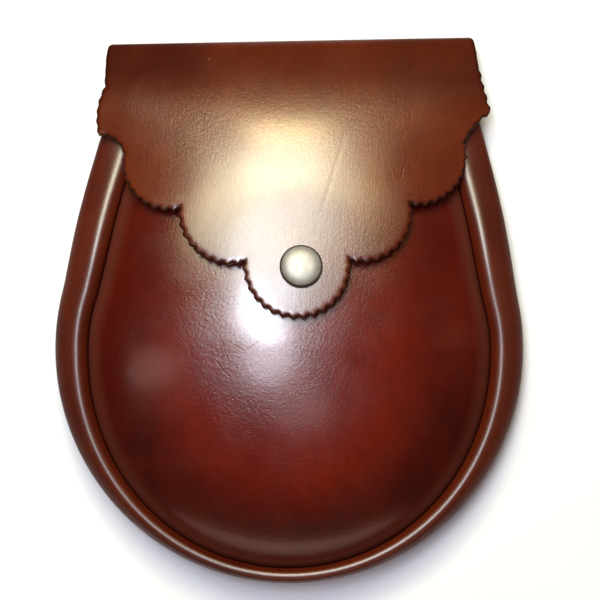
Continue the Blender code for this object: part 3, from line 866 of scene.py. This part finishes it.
def grain_leather(
    name,
    deep,
    main,
    warm,
    burnt_and_shade,
    roughness,
    coat_roughness,
    gloss,
    edge_stain,
    skirt_light=None,
    streaks=0.0,
    dull=0.0,
    crumpled=0.0,
    creases=(),
):
    """Dyed, oiled and polished leather: mottled dye, fine grain, scuffs, and dark edges.

    The dye goes from deep to main and warm, and darker in places. The sheet's attribute of darker
    dye and painted shade brings in more of the darkest colour, as darker dye and painted shade, and
    takes away the gloss by the share dull. Its attribute of light beside the seam brings in a
    lighter colour, painted light that lifts the shade in and beside the seam. Cut edges are
    darkened by the share edge_stain. streaks and crumpled are strengths of relief, the latter
    around CRUMPLED_PLACE, and creases are (start, end, width, depth), in the plan.
    """
    nodes = Nodes(name)
    where = nodes.position()
    clouds = nodes.noise(where, 26.0, 4.0, 0.55, 0.4)
    patches = nodes.noise(where, 11.0, 2.0, 0.5, 0.2)
    mottle = nodes.noise(nodes.position((170.0, 95.0, 130.0)), 1.0, 5.0, 0.65, 0.6)
    specks = nodes.noise(where, 900.0, 4.0, 0.65)
    colour = nodes.tint(deep, main, clouds, 0.30, 0.70)
    colour = nodes.tint(colour, warm, patches, 0.35, 0.80, 0.60)
    colour = nodes.tint(colour, burnt_and_shade, mottle, 0.35, 0.65, 0.24)
    colour = nodes.tint(colour, deep, specks, 0.50, 0.72, 0.25)
    # Darker dye and painted shade: more of the darkest colour where the sheet's attribute says.
    shade_and_stain = nodes.attribute("shade_and_stain")
    uneven = nodes.span(nodes.noise(where, 45.0, 4.0, 0.6, 0.5), 0.25, 0.75, 0.80, 1.12)
    colour = nodes.blend(nodes.times(shade_and_stain, uneven), colour, burnt_and_shade)
    # Painted light: a lighter colour in and beside the seam, lifting its shade.
    if skirt_light:
        colour = nodes.blend(nodes.attribute("skirt_light"), colour, skirt_light)
    edge = nodes.span(nodes.attribute("edge_distance"), 0.0004, 0.0017, edge_stain, 0.0)
    worn = nodes.span(nodes.noise(where, 320.0, 3.0, 0.6), 0.2, 0.6, 0.6, 1.0)
    edge_dye = tuple(value * 0.25 for value in deep)
    colour = nodes.blend(nodes.times(edge, worn), colour, edge_dye)
    nicks = nodes.span(nodes.cells(nodes.shaken(where, 60.0, 0.004), 75.0), 0.014, 0.034, 0.55, 0.0)
    nicked = nodes.span(nodes.noise(where, 30.0, 1.0, 0.5), 0.56, 0.60)
    bare = tuple(value * 2.2 + 0.03 for value in warm)
    colour = nodes.blend(nodes.times(nicks, nicked), colour, bare)
    rough_map = nodes.span(nodes.noise(where, 60.0, 5.0, 0.6), 0.3, 0.7, -0.04, 0.05)
    scuffs = nodes.noise(nodes.position((60.0, 900.0, 900.0), 0.5), 1.0, 4.0, 0.6)
    rough = nodes.sum(roughness, rough_map, nodes.span(scuffs, 0.55, 0.8, 0.0, 0.04))
    pores = nodes.times(nodes.cells(nodes.shaken(where, 700.0, 0.0005), 1500.0), 0.5)
    fine = nodes.times(nodes.noise(where, 2600.0, 3.0, 0.6), 0.6)
    reliefs = [
        # pattern, depth, strength
        (nodes.sum(pores, fine), 0.00006, 0.8),
        (nodes.noise(where, 850.0, 2.0, 0.5), 0.00008, 0.7),
        (nodes.noise(where, 240.0, 3.0, 0.5), 0.00010, 0.3),
    ]
    if streaks:
        lines = nodes.noise(nodes.position((1900.0, 110.0, 400.0)), 1.0, 4.0, 0.65)
        reliefs.append((lines, 0.00010, streaks))
    if crumpled:
        inputs = {0: where, 1: CRUMPLED_PLACE}
        gap = nodes.add("ShaderNodeVectorMath", inputs, 1, operation="DISTANCE")
        near = nodes.span(gap, CRUMPLED_REACH * 0.30, CRUMPLED_REACH, 1.0, 0.20)
        folds = nodes.noise(nodes.shaken(where, 260.0, 0.0020), 820.0, 4.0, 0.60, 0.4)
        reliefs.append((nodes.times(folds, near), 0.00028, crumpled))
    for start, end, width, depth in creases:
        reliefs.append((nodes.crease(start, end, width), -depth, 1.0))
    normal = None
    for height, depth, strength in reliefs:
        normal = nodes.bump(height, depth, strength, normal)
    facing = nodes.add("ShaderNodeLayerWeight", {"Blend": 0.5}, "Facing")
    shine = nodes.sum(1.0, nodes.times(shade_and_stain, -dull))
    return nodes.set(
        Base_Color=colour,
        Roughness=rough,
        Normal=normal,
        IOR=1.50,
        Specular_IOR_Level=nodes.times(nodes.span(facing, 0.08, 0.36, 0.5, 0.04), shine),
        Coat_Weight=nodes.times(nodes.span(facing, 0.05, 0.34, gloss, 0.0), shine),
        Coat_Roughness=coat_roughness,
        Coat_IOR=1.55,
    )


def flesh_leather():
    """The back of the leather: matt, fibrous and a little lighter."""
    nodes = Nodes("Flesh side")
    where = nodes.position()
    nap = nodes.noise(where, 700.0, 6.0, 0.7, 0.5)
    clouds = nodes.noise(where, 40.0, 4.0, 0.6)
    deep = (0.060, 0.020, 0.010)
    colour = nodes.tint(deep, (0.120, 0.045, 0.022), clouds, 0.35, 0.65)
    return nodes.set(
        Base_Color=nodes.tint(colour, deep, nap, 0.4, 0.7, 0.5),
        Roughness=nodes.span(nap, 0.3, 0.7, 0.72, 0.9),
        Normal=nodes.bump(nap, 0.00025, 0.6),
    )


def cut_leather():
    """Stained and rubbed cut edge, with the layers of the hide showing a little."""
    nodes = Nodes("Cut edge")
    layers = nodes.noise(nodes.position((300.0, 300.0, 2600.0)), 1.0, 4.0, 0.6)
    rubbed = nodes.noise(nodes.position(), 420.0, 4.0, 0.6)
    return nodes.set(
        Base_Color=nodes.tint((0.030, 0.0065, 0.0040), (0.070, 0.016, 0.009), layers, 0.35, 0.65),
        Roughness=nodes.span(rubbed, 0.3, 0.7, 0.35, 0.6),
        Normal=nodes.bump(layers, 0.0001, 0.5),
    )


def thread_material():
    nodes = Nodes("Waxed thread")
    ply = nodes.noise(nodes.position((1200.0, 1200.0, 1200.0), 0.6), 1.0, 3.0, 0.6)
    tone = nodes.noise(nodes.position(), 120.0, 3.0, 0.6)
    return nodes.set(
        Base_Color=nodes.tint((0.030, 0.012, 0.006), (0.075, 0.032, 0.016), tone, 0.3, 0.7),
        Roughness=nodes.span(ply, 0.3, 0.7, 0.45, 0.7),
        Normal=nodes.bump(ply, 0.0001, 0.6),
    )


def nickel_material():
    """Satin nickel with fine rub marks, and dark tarnish with painted shade in the angle of its
    edge.
    """
    nodes = Nodes("Antique nickel cap")
    marks = nodes.noise(nodes.position((2200.0, 180.0, 800.0), 0.25), 1.0, 4.0, 0.65)
    tarnish = nodes.noise(nodes.position(), 260.0, 4.0, 0.6)
    # Dark tarnish and painted shade in the angle of the cap's edge.
    rim = nodes.span(nodes.attribute("edge_distance"), 0.0004, 0.0009, 1.0, 0.0)
    colour = nodes.tint((0.49, 0.485, 0.465), (0.41, 0.40, 0.375), tarnish, 0.40, 0.70)
    return nodes.set(
        Base_Color=nodes.blend(nodes.times(rim, 0.90), colour, (0.085, 0.066, 0.056)),
        Metallic=0.75,
        Roughness=nodes.sum(nodes.span(marks, 0.3, 0.7, 0.54, 0.62), nodes.times(rim, 0.10)),
        Normal=nodes.bump(marks, 0.00002, 0.4),
    )


def steel_material():
    nodes = Nodes("Snap steel")
    marks = nodes.noise(nodes.position(), 900.0, 4.0, 0.6)
    return nodes.set(
        Base_Color=nodes.tint((0.42, 0.42, 0.41), (0.56, 0.55, 0.53), marks, 0.3, 0.7),
        Metallic=1.0,
        Roughness=nodes.span(marks, 0.3, 0.7, 0.3, 0.45),
    )


def floor_material():
    nodes = Nodes("Pale floor")
    tone = nodes.noise(nodes.position(), 6.0, 3.0, 0.5)
    colour = nodes.tint((0.86, 0.895, 0.975), (0.88, 0.915, 0.995), tone, 0.3, 0.7)
    return nodes.set(Base_Color=colour, Roughness=0.85)


# Pieces


def along_line(points, shares):
    """Points of a line at shares of its length."""
    lengths = [0.0]
    for before, after in zip(points, points[1:]):
        lengths.append(lengths[-1] + (after - before).length)
    result = []
    index = 0
    for share in shares:
        target = lengths[-1] * share
        while index < len(points) - 2 and lengths[index + 1] < target:
            index += 1
        part = (target - lengths[index]) / (lengths[index + 1] - lengths[index])
        result.append(points[index].lerp(points[index + 1], part))
    return result


def rim_section(lowness, y, shares):
    """Middle line of the gusset's leather at one station, as (inset, height) points."""
    rim = rim_share(lowness)
    line = []
    for _, inset_side, inset_bottom, height in GUSSET_LINE:
        line.append(Vector((mix(inset_side, inset_bottom, rim), height)))
    seam_inset = rim_width(lowness) - (GAP + GUSSET_THICKNESS) / 2
    line.append(Vector((seam_inset, SEAM_HEIGHT - SEAM_ROLL)))
    line.append(Vector((seam_inset, SEAM_HEIGHT - SEAM_DEPTH)))
    steps = GUSSET_CURVE_STEPS
    dense = [curve_point(line, n / steps) for n in range(steps * (len(line) - 1) + 1)]
    even = along_line(dense, [n / GUSSET_EVEN_STEPS for n in range(GUSSET_EVEN_STEPS + 1)])
    smooth = along_line(softened(even, GUSSET_SOFTENINGS), shares)
    return [Vector((p.x, tapered(p.y, y))) for p in smooth]


def make_gusset(materials):
    """Side wall and smooth rim in one strip of leather."""
    near = [step / GUSSET_LENGTH for step in EDGE_STEPS]
    far = [1.0 - share for share in reversed(near)]
    middle = spaced(near[-1], far[0], (far[0] - near[-1]) / GUSSET_LINE_POINTS)
    shares = near + middle + far
    points = []
    distances = []
    skirt_light = []
    stations = outline_stations(GUSSET_TOP_Y, EDGE_STEPS)
    for point, inward, lowness, reach in stations:
        for share, across in zip(shares, rim_section(lowness, point.y, shares)):
            spot = point + inward * across.x
            points.append(Vector((spot.x, spot.y, across.y)))
            from_seam = (1.0 - share) * GUSSET_LENGTH
            distances.append(min(reach, share * GUSSET_LENGTH, from_seam))
            # Painted light near the seam, lifting the shade of the crevice.
            fade = 1.0 - smoothstep((from_seam - RIM_SKIRT_LIGHT_REACH) / RIM_SKIRT_LIGHT_FADE)
            skirt_light.append(RIM_SKIRT_LIGHT * fade)
    faces = reversed_faces(grid_faces(len(stations), len(shares)))
    return leather_sheet("rim_gusset", points, faces, distances, materials, None, {"skirt_light": skirt_light})


def stud_frame():
    """Placement of the snap: origin on the front's outer face, its turn, and its Z axis."""
    step = 2 * SLOPE_STEP
    centre = Vector((STUD_X, STUD_Y, front_height(STUD_X, STUD_Y)))
    slope_x = front_height(STUD_X + step, STUD_Y) - front_height(STUD_X - step, STUD_Y)
    slope_y = front_height(STUD_X, STUD_Y + step) - front_height(STUD_X, STUD_Y - step)
    out = Vector((-slope_x, -slope_y, 2 * step)).normalized()
    return centre, Vector((0, 0, 1)).rotation_difference(out), out


def slot_rings(x, y, radius, reach, end_steps):
    """Rings of points around a slot along Y with round ends, or a hole if it has no reach."""
    rings = []
    for step in EDGE_STEPS:
        ring = []
        for end, first in ((1, 0.0), (-1, math.pi)):
            for n in range(end_steps + 1 if reach else end_steps):
                angle = first + math.pi * n / end_steps
                arm = Vector((math.cos(angle), math.sin(angle))) * (radius + step)
                ring.append(Vector((x, y + end * reach)) + arm)
        rings.append(ring)
    return rings


def hole_distances(holes):
    """Distances from the cut edges at the points of slot_rings of some holes."""
    return [step for rings in holes for step, ring in zip(EDGE_STEPS, rings) for _ in ring]


def closed_ring(top_y, inset_of, across_count):
    """Ring inside the outline: around the sides and the bottom, then back across the top."""
    ring = []
    for point, inward, lowness, _ in outline_stations(top_y):
        ring.append(point + inward * inset_of(lowness))
    right, left = ring[-1], ring[0]
    return ring + [right.lerp(left, n / across_count) for n in range(1, across_count)]


def front_place(spot):
    """Where a point of the front's flat pattern comes to lie, on the middle of the leather."""
    inset, inward, lowness = outline_foot(spot)
    reach = inset - front_inset(lowness)
    if reach >= 0.0:
        height = dome_height(spot.x, spot.y, front_inset(lowness)) - FRONT_THICKNESS / 2
        return Vector((spot.x, spot.y, height))
    foot = spot - inward * reach
    edge_y = (spot - inward * inset).y
    high = tapered(SEAM_HEIGHT, edge_y) - FRONT_THICKNESS / 2
    low = tapered(SEAM_HEIGHT - SEAM_DEPTH, edge_y)
    turn_down = SEAM_DEPTH - FRONT_THICKNESS / 2
    return Vector((foot.x, foot.y, mix(high, low, -reach / turn_down)))


def make_front(materials):
    """Moulded dome whose edge turns down into the seam."""
    centre, _, out = stud_frame()
    hole = centre - out * FRONT_THICKNESS / 2
    turn_down = SEAM_DEPTH - FRONT_THICKNESS / 2
    reaches = [step - turn_down for step in EDGE_STEPS]
    reaches += TURN_DOWN_RINGS + DOME_RINGS
    tops = list(EDGE_STEPS)
    tops += [EDGE_STEPS[-1] + TOP_RING_STEP * (n + 1) for n in range(len(reaches) - len(tops))]
    rings = []
    distances = []
    for reach, top in zip(reaches, tops):
        ring = closed_ring(
            MOUTH_Y - top, lambda lowness: front_inset(lowness) + reach, MOUTH_POINTS
        )
        rings.append(ring)
        top_count = MOUTH_POINTS - 1
        distances += [reach + turn_down] * (len(ring) - top_count) + [top] * top_count
    holes = [slot_rings(hole.x, hole.y, HOLE_RADIUS, 0.0, HOLE_END_STEPS)]
    distances += hole_distances(holes)
    levels = spaced(-BODY_RADIUS, MOUTH_Y, FRONT_SPACING)
    flat, faces = fill_rings(rings, holes, levels, FRONT_SPACING)
    points = [front_place(spot) for spot in flat]
    shade_and_stain = []
    skirt_light = []
    for index, spot in enumerate(flat):
        inset, _, lowness = outline_foot(spot)
        reach = inset - front_inset(lowness)
        if index >= len(distances):
            distances.append(reach + turn_down)
        # Darker dye with painted shade towards the edge, more low down.
        low = smoothstep((FRONT_DYE_AND_SHADE_HIGH_Y - spot.y) / (FRONT_DYE_AND_SHADE_HIGH_Y - FRONT_DYE_AND_SHADE_LOW_Y))
        fade = 1.0 - smoothstep((reach - FRONT_DYE_AND_SHADE_FULL) / FRONT_DYE_AND_SHADE_FADE)
        shade_and_stain.append(mix(*FRONT_DYE_AND_SHADE, low) * fade)
        # Painted light beside the seam, lifting the shade of the crevice.
        fade = 1.0 - smoothstep((reach - FRONT_SKIRT_LIGHT_REACH) / FRONT_SKIRT_LIGHT_FADE)
        skirt_light.append(mix(*FRONT_SKIRT_LIGHT, low) * fade)
    tone_maps = {"shade_and_stain": shade_and_stain, "skirt_light": skirt_light}
    return leather_sheet("front_leather", points, faces, distances, materials, None, tone_maps)


def tooth_wave(share):
    """Outline of pinked teeth: -1 at a root, where share is whole, and 1 at a tip."""
    swing = math.asin(TOOTH_SHARPNESS * math.cos(2 * math.pi * share))
    return -swing / math.asin(TOOTH_SHARPNESS)


def flap_front_edge():
    """Middle line of the front's cut edge, as (point, tooth) from the left to the right."""
    leave_y = fold_place()[2]
    start = Vector((FOLD_LEFT_X, leave_y))
    edge = [(start, 0.0)]
    for _, end_x, end_y, bulge, depth in FLAP_EDGE:
        end = Vector((end_x, leave_y if end_y is None else end_y))
        arc = arc_points(start, end, bulge, TOOTH_PITCH / TOOTH_STEPS)
        length = (arc[0] - start).length * len(arc)
        teeth = max(1, round(length / TOOTH_PITCH))
        for index, point in enumerate(arc):
            share = (index + 1) / len(arc) * teeth
            spot = (point.x * TOOTH_UNEVEN_SCALE, point.y * TOOTH_UNEVEN_SCALE, TOOTH_SEED)
            uneven = 1.0 + TOOTH_UNEVENNESS * noise.noise(spot)
            start_up = smoothstep((leave_y - point.y - TOOTH_START) / TOOTH_START_FADE)
            edge.append((point, tooth_wave(share) * uneven * start_up * depth))
        start = end
    return edge


def flap_outline():
    """Middle line of the flap's flat edge as (point, tooth), and where its fold lies."""
    centre_y, _, leave_y, _ = fold_place()
    fold_start = centre_y - TAIL_END_Y
    fold_end = fold_start + FOLD_RADIUS * (math.pi - FLAP_RISE)
    outline = [(Vector((p.x, fold_end + leave_y - p.y)), t) for p, t in flap_front_edge()]
    shoulder = fold_start - TAIL_SHOULDER
    corners = [
        Vector((FOLD_RIGHT_X, fold_end)),
        Vector((FOLD_RIGHT_X, fold_start)),
        Vector((TAIL_HALF_WIDTH, shoulder)),
        Vector((TAIL_HALF_WIDTH, 0.0)),
        Vector((-TAIL_HALF_WIDTH, 0.0)),
        Vector((-TAIL_HALF_WIDTH, shoulder)),
        Vector((FOLD_LEFT_X, fold_start)),
        Vector((FOLD_LEFT_X, fold_end)),
    ]
    for before, after in zip(corners, corners[1:]):
        for point in arc_points(before, after, 0.0, FOLD_STEP):
            angle = (point.y - fold_start) / FOLD_RADIUS - math.pi / 2
            if abs(angle) < math.pi / 2 and abs(point.x) > TAIL_HALF_WIDTH:
                cut = FOLD_CORNER * math.cos(angle) ** FOLD_CORNER_SHARPNESS
                point.x -= math.copysign(cut, point.x)
            outline.append((point, 0.0))
    return outline[:-1], fold_start, fold_end


def fold_leather(x, length, fold_start, fold_end):
    """Where a point of the flap's flat leather comes to lie."""
    centre_y, radius, _, _ = fold_place(x)
    if length <= fold_start:
        y = centre_y - fold_start + length
        height = TAIL_HEIGHT
    elif length <= fold_end:
        angle = (length - fold_start) / FOLD_RADIUS - math.pi / 2
        y = centre_y + radius * math.cos(angle)
        height = TAIL_HEIGHT + radius * (1.0 + math.sin(angle))
    else:
        y = fold_place()[2] - (length - fold_end)
        height = flap_height(x, y)
        y += flap_shift(x, y)
    body_x, body_y = tilt_flap(x, y)
    return Vector((body_x, body_y, height))


def ring_normals(ring):
    """Outward directions at the points of a closed ring, long enough to keep its corners."""
    turning = sum(a.x * b.y - b.x * a.y for a, b in zip(ring, ring[1:] + ring[:1]))
    side = 1.0 if turning > 0 else -1.0
    normals = []
    for index, point in enumerate(ring):
        before = (point - ring[index - 1]).normalized()
        after = (ring[(index + 1) % len(ring)] - point).normalized()
        normal = Vector((before.y + after.y, -before.x - after.x)).normalized() * side
        spread = max(LEAST_SPREAD, abs(normal.dot(Vector((before.y, -before.x)))))
        normals.append(normal / spread)
    return normals


def make_flap(materials):
    """One sheet: tail, fold, and front with seven scallops and a pinked edge."""
    outline, fold_start, fold_end = flap_outline()
    middle_line = [point for point, _ in outline]
    rings = []
    distances = []
    for inset, tooth_share in FLAP_RINGS:
        ring = []
        for (point, tooth), normal in zip(outline, ring_normals(middle_line)):
            ring.append(point + normal * (tooth * tooth_share * TOOTH_DEPTH - inset))
        rings.append(ring)
        distances += [inset] * len(ring)
    centre, _, out = stud_frame()
    hole = centre + out * (GAP + STAND_OFF + FLAP_THICKNESS / 2)
    hole_x, hole_y = untilt_flap(hole.x, hole.y)
    hole_y = fold_end + fold_place()[2] - hole_y
    holes = [slot_rings(hole_x, hole_y, HOLE_RADIUS, 0.0, HOLE_END_STEPS)]
    distances += hole_distances(holes)
    levels = spaced(0.0, fold_start, FLAP_SPACING * 2) + [fold_start]
    levels += spaced(fold_start, fold_end, FOLD_STEP) + [fold_end]
    levels += spaced(fold_end, max(p.y for p in middle_line), FLAP_SPACING)
    flat, faces = fill_rings(rings, holes, levels, FLAP_SPACING)
    distances += [DEEP_INSIDE] * (len(flat) - len(distances))
    points = [fold_leather(p.x, p.y, fold_start, fold_end) for p in flat]

    def rolled_off(index):
        if flat[index].y < fold_end + EDGE_ROLL_START:
            return 0.0
        return -EDGE_ROLL_DEPTH * max(0.0, 1.0 - distances[index] / EDGE_ROLL_WIDTH) ** 2

    # Painted shade over the top and the ends of the flap, more on the left; it dulls the gloss
    # there too.
    shade_and_stain = []
    for point in points:
        high = smoothstep((point.y - FLAP_SHADE_LOW_Y) / FLAP_SHADE_HEIGHT)
        aside = smoothstep((abs(point.x) - FLAP_SHADE_REACH) / FLAP_SHADE_FADE)
        end_shade = FLAP_SHADE_LEFT if point.x < 0.0 else FLAP_SHADE_RIGHT
        shade_and_stain.append(high * mix(FLAP_SHADE_MIDDLE, end_shade, aside))
    faces = reversed_faces(faces)
    tone_maps = {"shade_and_stain": shade_and_stain}
    return leather_sheet("flap_leather", points, faces, distances, materials, rolled_off, tone_maps)


def groove(distance):
    """Depth of the groove for the thread at a distance from its middle."""
    return GROOVE_DEPTH * math.exp(-((distance / GROOVE_WIDTH) ** 2))


def make_back(materials):
    """Flat back, its grain side out, with belt slots and grooves for the stitches."""
    seam = BACK_SEAM_INSET - BACK_INSET
    insets = [*EDGE_STEPS, EDGE_STEPS[-1] * 2, *(seam + offset for offset in GROOVE_RINGS)]
    rings = []
    distances = []
    for inset in insets:
        ring = closed_ring(
            BACK_TOP_Y - inset, lambda lowness: BACK_INSET + inset, BACK_TOP_POINTS
        )
        rings.append(ring)
        distances += [inset] * len(ring)
    reach = (SLOT_LENGTH - SLOT_WIDTH) / 2
    holes = [slot_rings(x, SLOT_Y, SLOT_WIDTH / 2, reach, SLOT_END_STEPS) for x in SLOT_X]
    distances += hole_distances(holes)
    levels = spaced(-BODY_RADIUS, TAIL_SEAM_Y - GROOVE_REACH, BACK_SPACING)
    levels += [TAIL_SEAM_Y + offset for offset in GROOVE_RINGS]
    levels += spaced(TAIL_SEAM_Y + GROOVE_REACH, BACK_TOP_Y, BACK_SPACING)
    flat, faces = fill_rings(rings, holes, levels, BACK_SPACING)
    distances += [DEEP_INSIDE] * (len(flat) - len(distances))
    points = [Vector((p.x, p.y, BACK_THICKNESS / 2)) for p in flat]

    def grooved(index):
        depth = groove(distances[index] - seam)
        if abs(flat[index].x) < TAIL_SEAM_HALF_LENGTH:
            depth = max(depth, groove(flat[index].y - TAIL_SEAM_Y))
        return -depth

    faces = reversed_faces(faces)
    return leather_sheet("back_leather", points, faces, distances, materials, grooved)


def add_stitch(vertices, faces, centre, along, out):
    """One closed stitch of thread, whose ends dive into the leather."""
    across = out.cross(along)
    sides = STITCH_SIDES
    first = len(vertices)
    for n in range(STITCH_RINGS):
        share = 2.0 * n / (STITCH_RINGS - 1) - 1.0
        spot = centre + along * (share * STITCH_LENGTH / 2) - out * (STITCH_DIVE * share**4)
        radius = THREAD_RADIUS * (1.0 - STITCH_THINNING * abs(share) ** 3)
        for side in range(sides):
            angle = 2 * math.pi * side / sides
            arm = across * math.cos(angle) + out * math.sin(angle)
            vertices.append(spot + arm * radius)
    last = first + (STITCH_RINGS - 1) * sides
    for ring in range(first, last, sides):
        for side in range(sides):
            a = ring + side
            b = ring + (side + 1) % sides
            faces.append((a, b, b + sides, a + sides))
    faces.append(tuple(reversed(range(first, first + sides))))
    faces.append(tuple(range(last, last + sides)))


def stitch_line(vertices, faces, line, out, sunk, seed):
    """Even stitches along a line, each a little askew."""
    dice = random.Random(seed)
    length = sum((b - a).length for a, b in zip(line, line[1:]))
    count = int(length / STITCH_PITCH)
    shares = [(n + 0.5) / count for n in range(count)]
    step = STITCH_SIGHT / count
    for share in shares:
        before, here, after = along_line(line, [share - step, share, share + step])
        along = (after - before).normalized()
        askew = STITCH_ASKEW + dice.uniform(-STITCH_UNEVENNESS, STITCH_UNEVENNESS)
        turn = Matrix.Rotation(math.radians(askew), 3, out)
        add_stitch(vertices, faces, here - out * sunk, turn @ along, out)


def make_stitches(material):
    """Thread on the outer face of the back, and on the flange inside the fold of the gusset."""
    below = Vector((0, 0, -1))
    above = Vector((0, 0, 1))
    seam_top = BACK_TOP_Y - (BACK_SEAM_INSET - BACK_INSET)
    around = closed_ring(seam_top, lambda lowness: BACK_SEAM_INSET, BACK_TOP_POINTS)
    across = [
        Vector((-TAIL_SEAM_HALF_LENGTH, TAIL_SEAM_Y)),
        Vector((TAIL_SEAM_HALF_LENGTH, TAIL_SEAM_Y)),
    ]
    flange = [
        point + inward * BACK_SEAM_INSET
        for point, inward, _, _ in outline_stations(GUSSET_TOP_Y - FLANGE_STITCH_START)
    ]
    flange_top = BACK_THICKNESS + GAP + GUSSET_THICKNESS
    runs = (
        # name, line, height, direction out of the leather, how deep the thread lies
        ("back_seam_stitches", around + around[:1], 0.0, below, STITCH_SINK),
        ("tail_seam_stitches", across, 0.0, below, STITCH_SINK),
        ("flange_stitches", flange, flange_top, above, -FLANGE_STITCH_RISE),
    )
    pieces = []
    for seed, (name, line, height, out, sunk) in enumerate(runs):
        vertices = []
        faces = []
        raised = [Vector((p.x, p.y, height)) for p in line]
        stitch_line(vertices, faces, raised, out, sunk, seed)
        pieces.append(place(name, smooth_mesh(name, vertices, faces, [material])))
    return pieces


def make_cap(material):
    """Domed cap of the snap with a curled edge, its post and its socket, in one closed solid."""
    flap_under = GAP + STAND_OFF
    socket_top = flap_under - SNAP_GAP
    bore_top = socket_top - SOCKET_ROOF
    socket_low = socket_top - SOCKET_HEIGHT
    bore = POST_RADIUS + GAP
    base = flap_under + FLAP_THICKNESS + SNAP_GAP
    profile = [
        (0.0, bore_top),
        (bore, bore_top),
        (bore, socket_low + BORE_CHAMFER),
        (bore + BORE_CHAMFER, socket_low),
        (SOCKET_RADIUS - SOCKET_CHAMFER, socket_low),
        (SOCKET_RADIUS, socket_low + SOCKET_CHAMFER),
        (SOCKET_RADIUS, socket_top - SOCKET_CHAMFER),
        (SOCKET_RADIUS - SOCKET_CHAMFER, socket_top),
        (POST_RADIUS, socket_top),
        (POST_RADIUS, base + CAP_FLOOR),
        (CAP_RADIUS - CAP_WALL, base + CAP_FLOOR),
    ]
    curl = CAP_EDGE / 2
    for step in range(CURL_STEPS + 1):
        angle = mix(CURL_START, CURL_END, step / CURL_STEPS)
        radius = CAP_RADIUS - curl + curl * math.cos(angle)
        profile.append((radius, base + curl + curl * math.sin(angle)))
    dome_radius = CAP_RADIUS - DOME_INSET
    for step in range(1, DOME_STEPS + 1):
        angle = mix(DOME_START, math.pi / 2, step / DOME_STEPS)
        rise = (1.0 - math.cos(angle) ** CAP_FLATNESS) ** (1.0 / CAP_ROUNDNESS)
        height = mix(base + CAP_EDGE * DOME_FOOT, base + CAP_EDGE + CAP_DOME, rise)
        profile.append((dome_radius * math.cos(angle), height))
    mesh = turned("snap_cap", reversed(profile), material, CAP_SEGMENTS)
    radii = [CAP_RADIUS - math.hypot(v.co.x, v.co.y) for v in mesh.vertices]
    write_attribute(mesh, "edge_distance", radii)
    centre, turn, _ = stud_frame()
    mesh.transform(Matrix.Translation(centre) @ turn.to_matrix().to_4x4())
    return place("snap_cap", mesh)


# Stage


def make_floor(material):
    """A wide sheet just under the pouch."""
    profile = [(radius, 0.0) for radius in FLOOR_RADII]
    floor = add_object("floor", turned("floor", profile, material, FLOOR_POINTS))
    floor.location.z = -FLOOR_DROP
    return floor


def add_light(name, spot, size, watts, colour):
    """A soft elliptical light that faces the pouch."""
    data = bpy.data.lights.new(name, "AREA")
    data.shape = "ELLIPSE"
    data.size, data.size_y = size
    data.energy = watts
    data.color = colour
    light = add_object(name, data)
    light.location = spot
    facing = LIGHT_AIM - Vector(spot)
    light.rotation_euler = facing.to_track_quat("-Z", "Y").to_euler()
    light.visible_camera = False


def make_camera():
    data = bpy.data.cameras.new("camera")
    data.sensor_fit = "HORIZONTAL"
    data.sensor_width = SENSOR_WIDTH
    data.lens = SENSOR_WIDTH * CAMERA_PLACE[2] / FRAME_WIDTH
    data.clip_start = CLIP_START
    camera = add_object("camera", data)
    camera.location = CAMERA_PLACE
    camera.rotation_euler = (0.0, 0.0, CAMERA_ROLL)
    bpy.context.scene.camera = camera


def make_world():
    world = bpy.data.worlds.new("world")
    world.use_nodes = True
    background = world.node_tree.nodes["Background"]
    background.inputs["Color"].default_value = WORLD_COLOUR
    background.inputs["Strength"].default_value = WORLD_STRENGTH
    bpy.context.scene.world = world


def finish_piece(piece, slot, *nodes):
    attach(piece, "root")
    if nodes:
        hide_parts(*nodes)


# The scene

flesh = flesh_leather()
cut = cut_leather()
front_grain = grain_leather(
    "Front leather",
    deep=(0.108, 0.0060, 0.0018),
    main=(0.132, 0.0080, 0.0024),
    warm=(0.150, 0.0120, 0.0030),
    burnt_and_shade=(0.036, 0.0030, 0.0016),
    skirt_light=(0.105, 0.0270, 0.0170),
    roughness=0.24,
    coat_roughness=0.17,
    gloss=1.0,
    edge_stain=0.1,
    crumpled=0.65,
    creases=FRONT_CREASES,
)
rim_grain = grain_leather(
    "Rim leather",
    deep=(0.056, 0.0066, 0.0020),
    main=(0.086, 0.0115, 0.0028),
    warm=(0.110, 0.0165, 0.0036),
    burnt_and_shade=(0.036, 0.0030, 0.0016),
    skirt_light=(0.160, 0.0220, 0.0090),
    roughness=0.38,
    coat_roughness=0.34,
    gloss=0.9,
    edge_stain=0.2,
)
flap_grain = grain_leather(
    "Flap leather",
    deep=(0.095, 0.0130, 0.0032),
    main=(0.128, 0.0205, 0.0044),
    warm=(0.152, 0.0280, 0.0054),
    burnt_and_shade=(0.050, 0.0085, 0.0048),
    roughness=0.28,
    coat_roughness=0.21,
    gloss=1.0,
    edge_stain=0.95,
    streaks=0.5,
    dull=0.85,
    creases=FLAP_CREASES,
)
back_grain = grain_leather(
    "Back leather",
    deep=(0.050, 0.0060, 0.0030),
    main=(0.085, 0.0120, 0.0055),
    warm=(0.100, 0.0180, 0.0070),
    burnt_and_shade=(0.030, 0.0040, 0.0020),
    roughness=0.45,
    coat_roughness=0.30,
    gloss=0.3,
    edge_stain=0.5,
)

finish_piece(make_back((back_grain, flesh, cut)), "back_leather", "back_panel")
finish_piece(make_gusset((rim_grain, flesh, cut)), "rim_leather", "gusset")
finish_piece(make_front((front_grain, flesh, cut)), "front_leather", "front_panel")
finish_piece(make_flap((flap_grain, flesh, cut)), "flap_leather", "flap")
finish_piece(make_cap(nickel_material()), "antique_nickel", "stud_cap")
for stitches in make_stitches(thread_material()):
    finish_piece(stitches, "back_leather")
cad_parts["snap_stud"].material_slots[0].material = steel_material()

make_floor(floor_material())
make_camera()
make_world()
for row in LIGHTS:
    add_light(*row)
bpy.context.scene.view_settings.view_transform = "Standard"
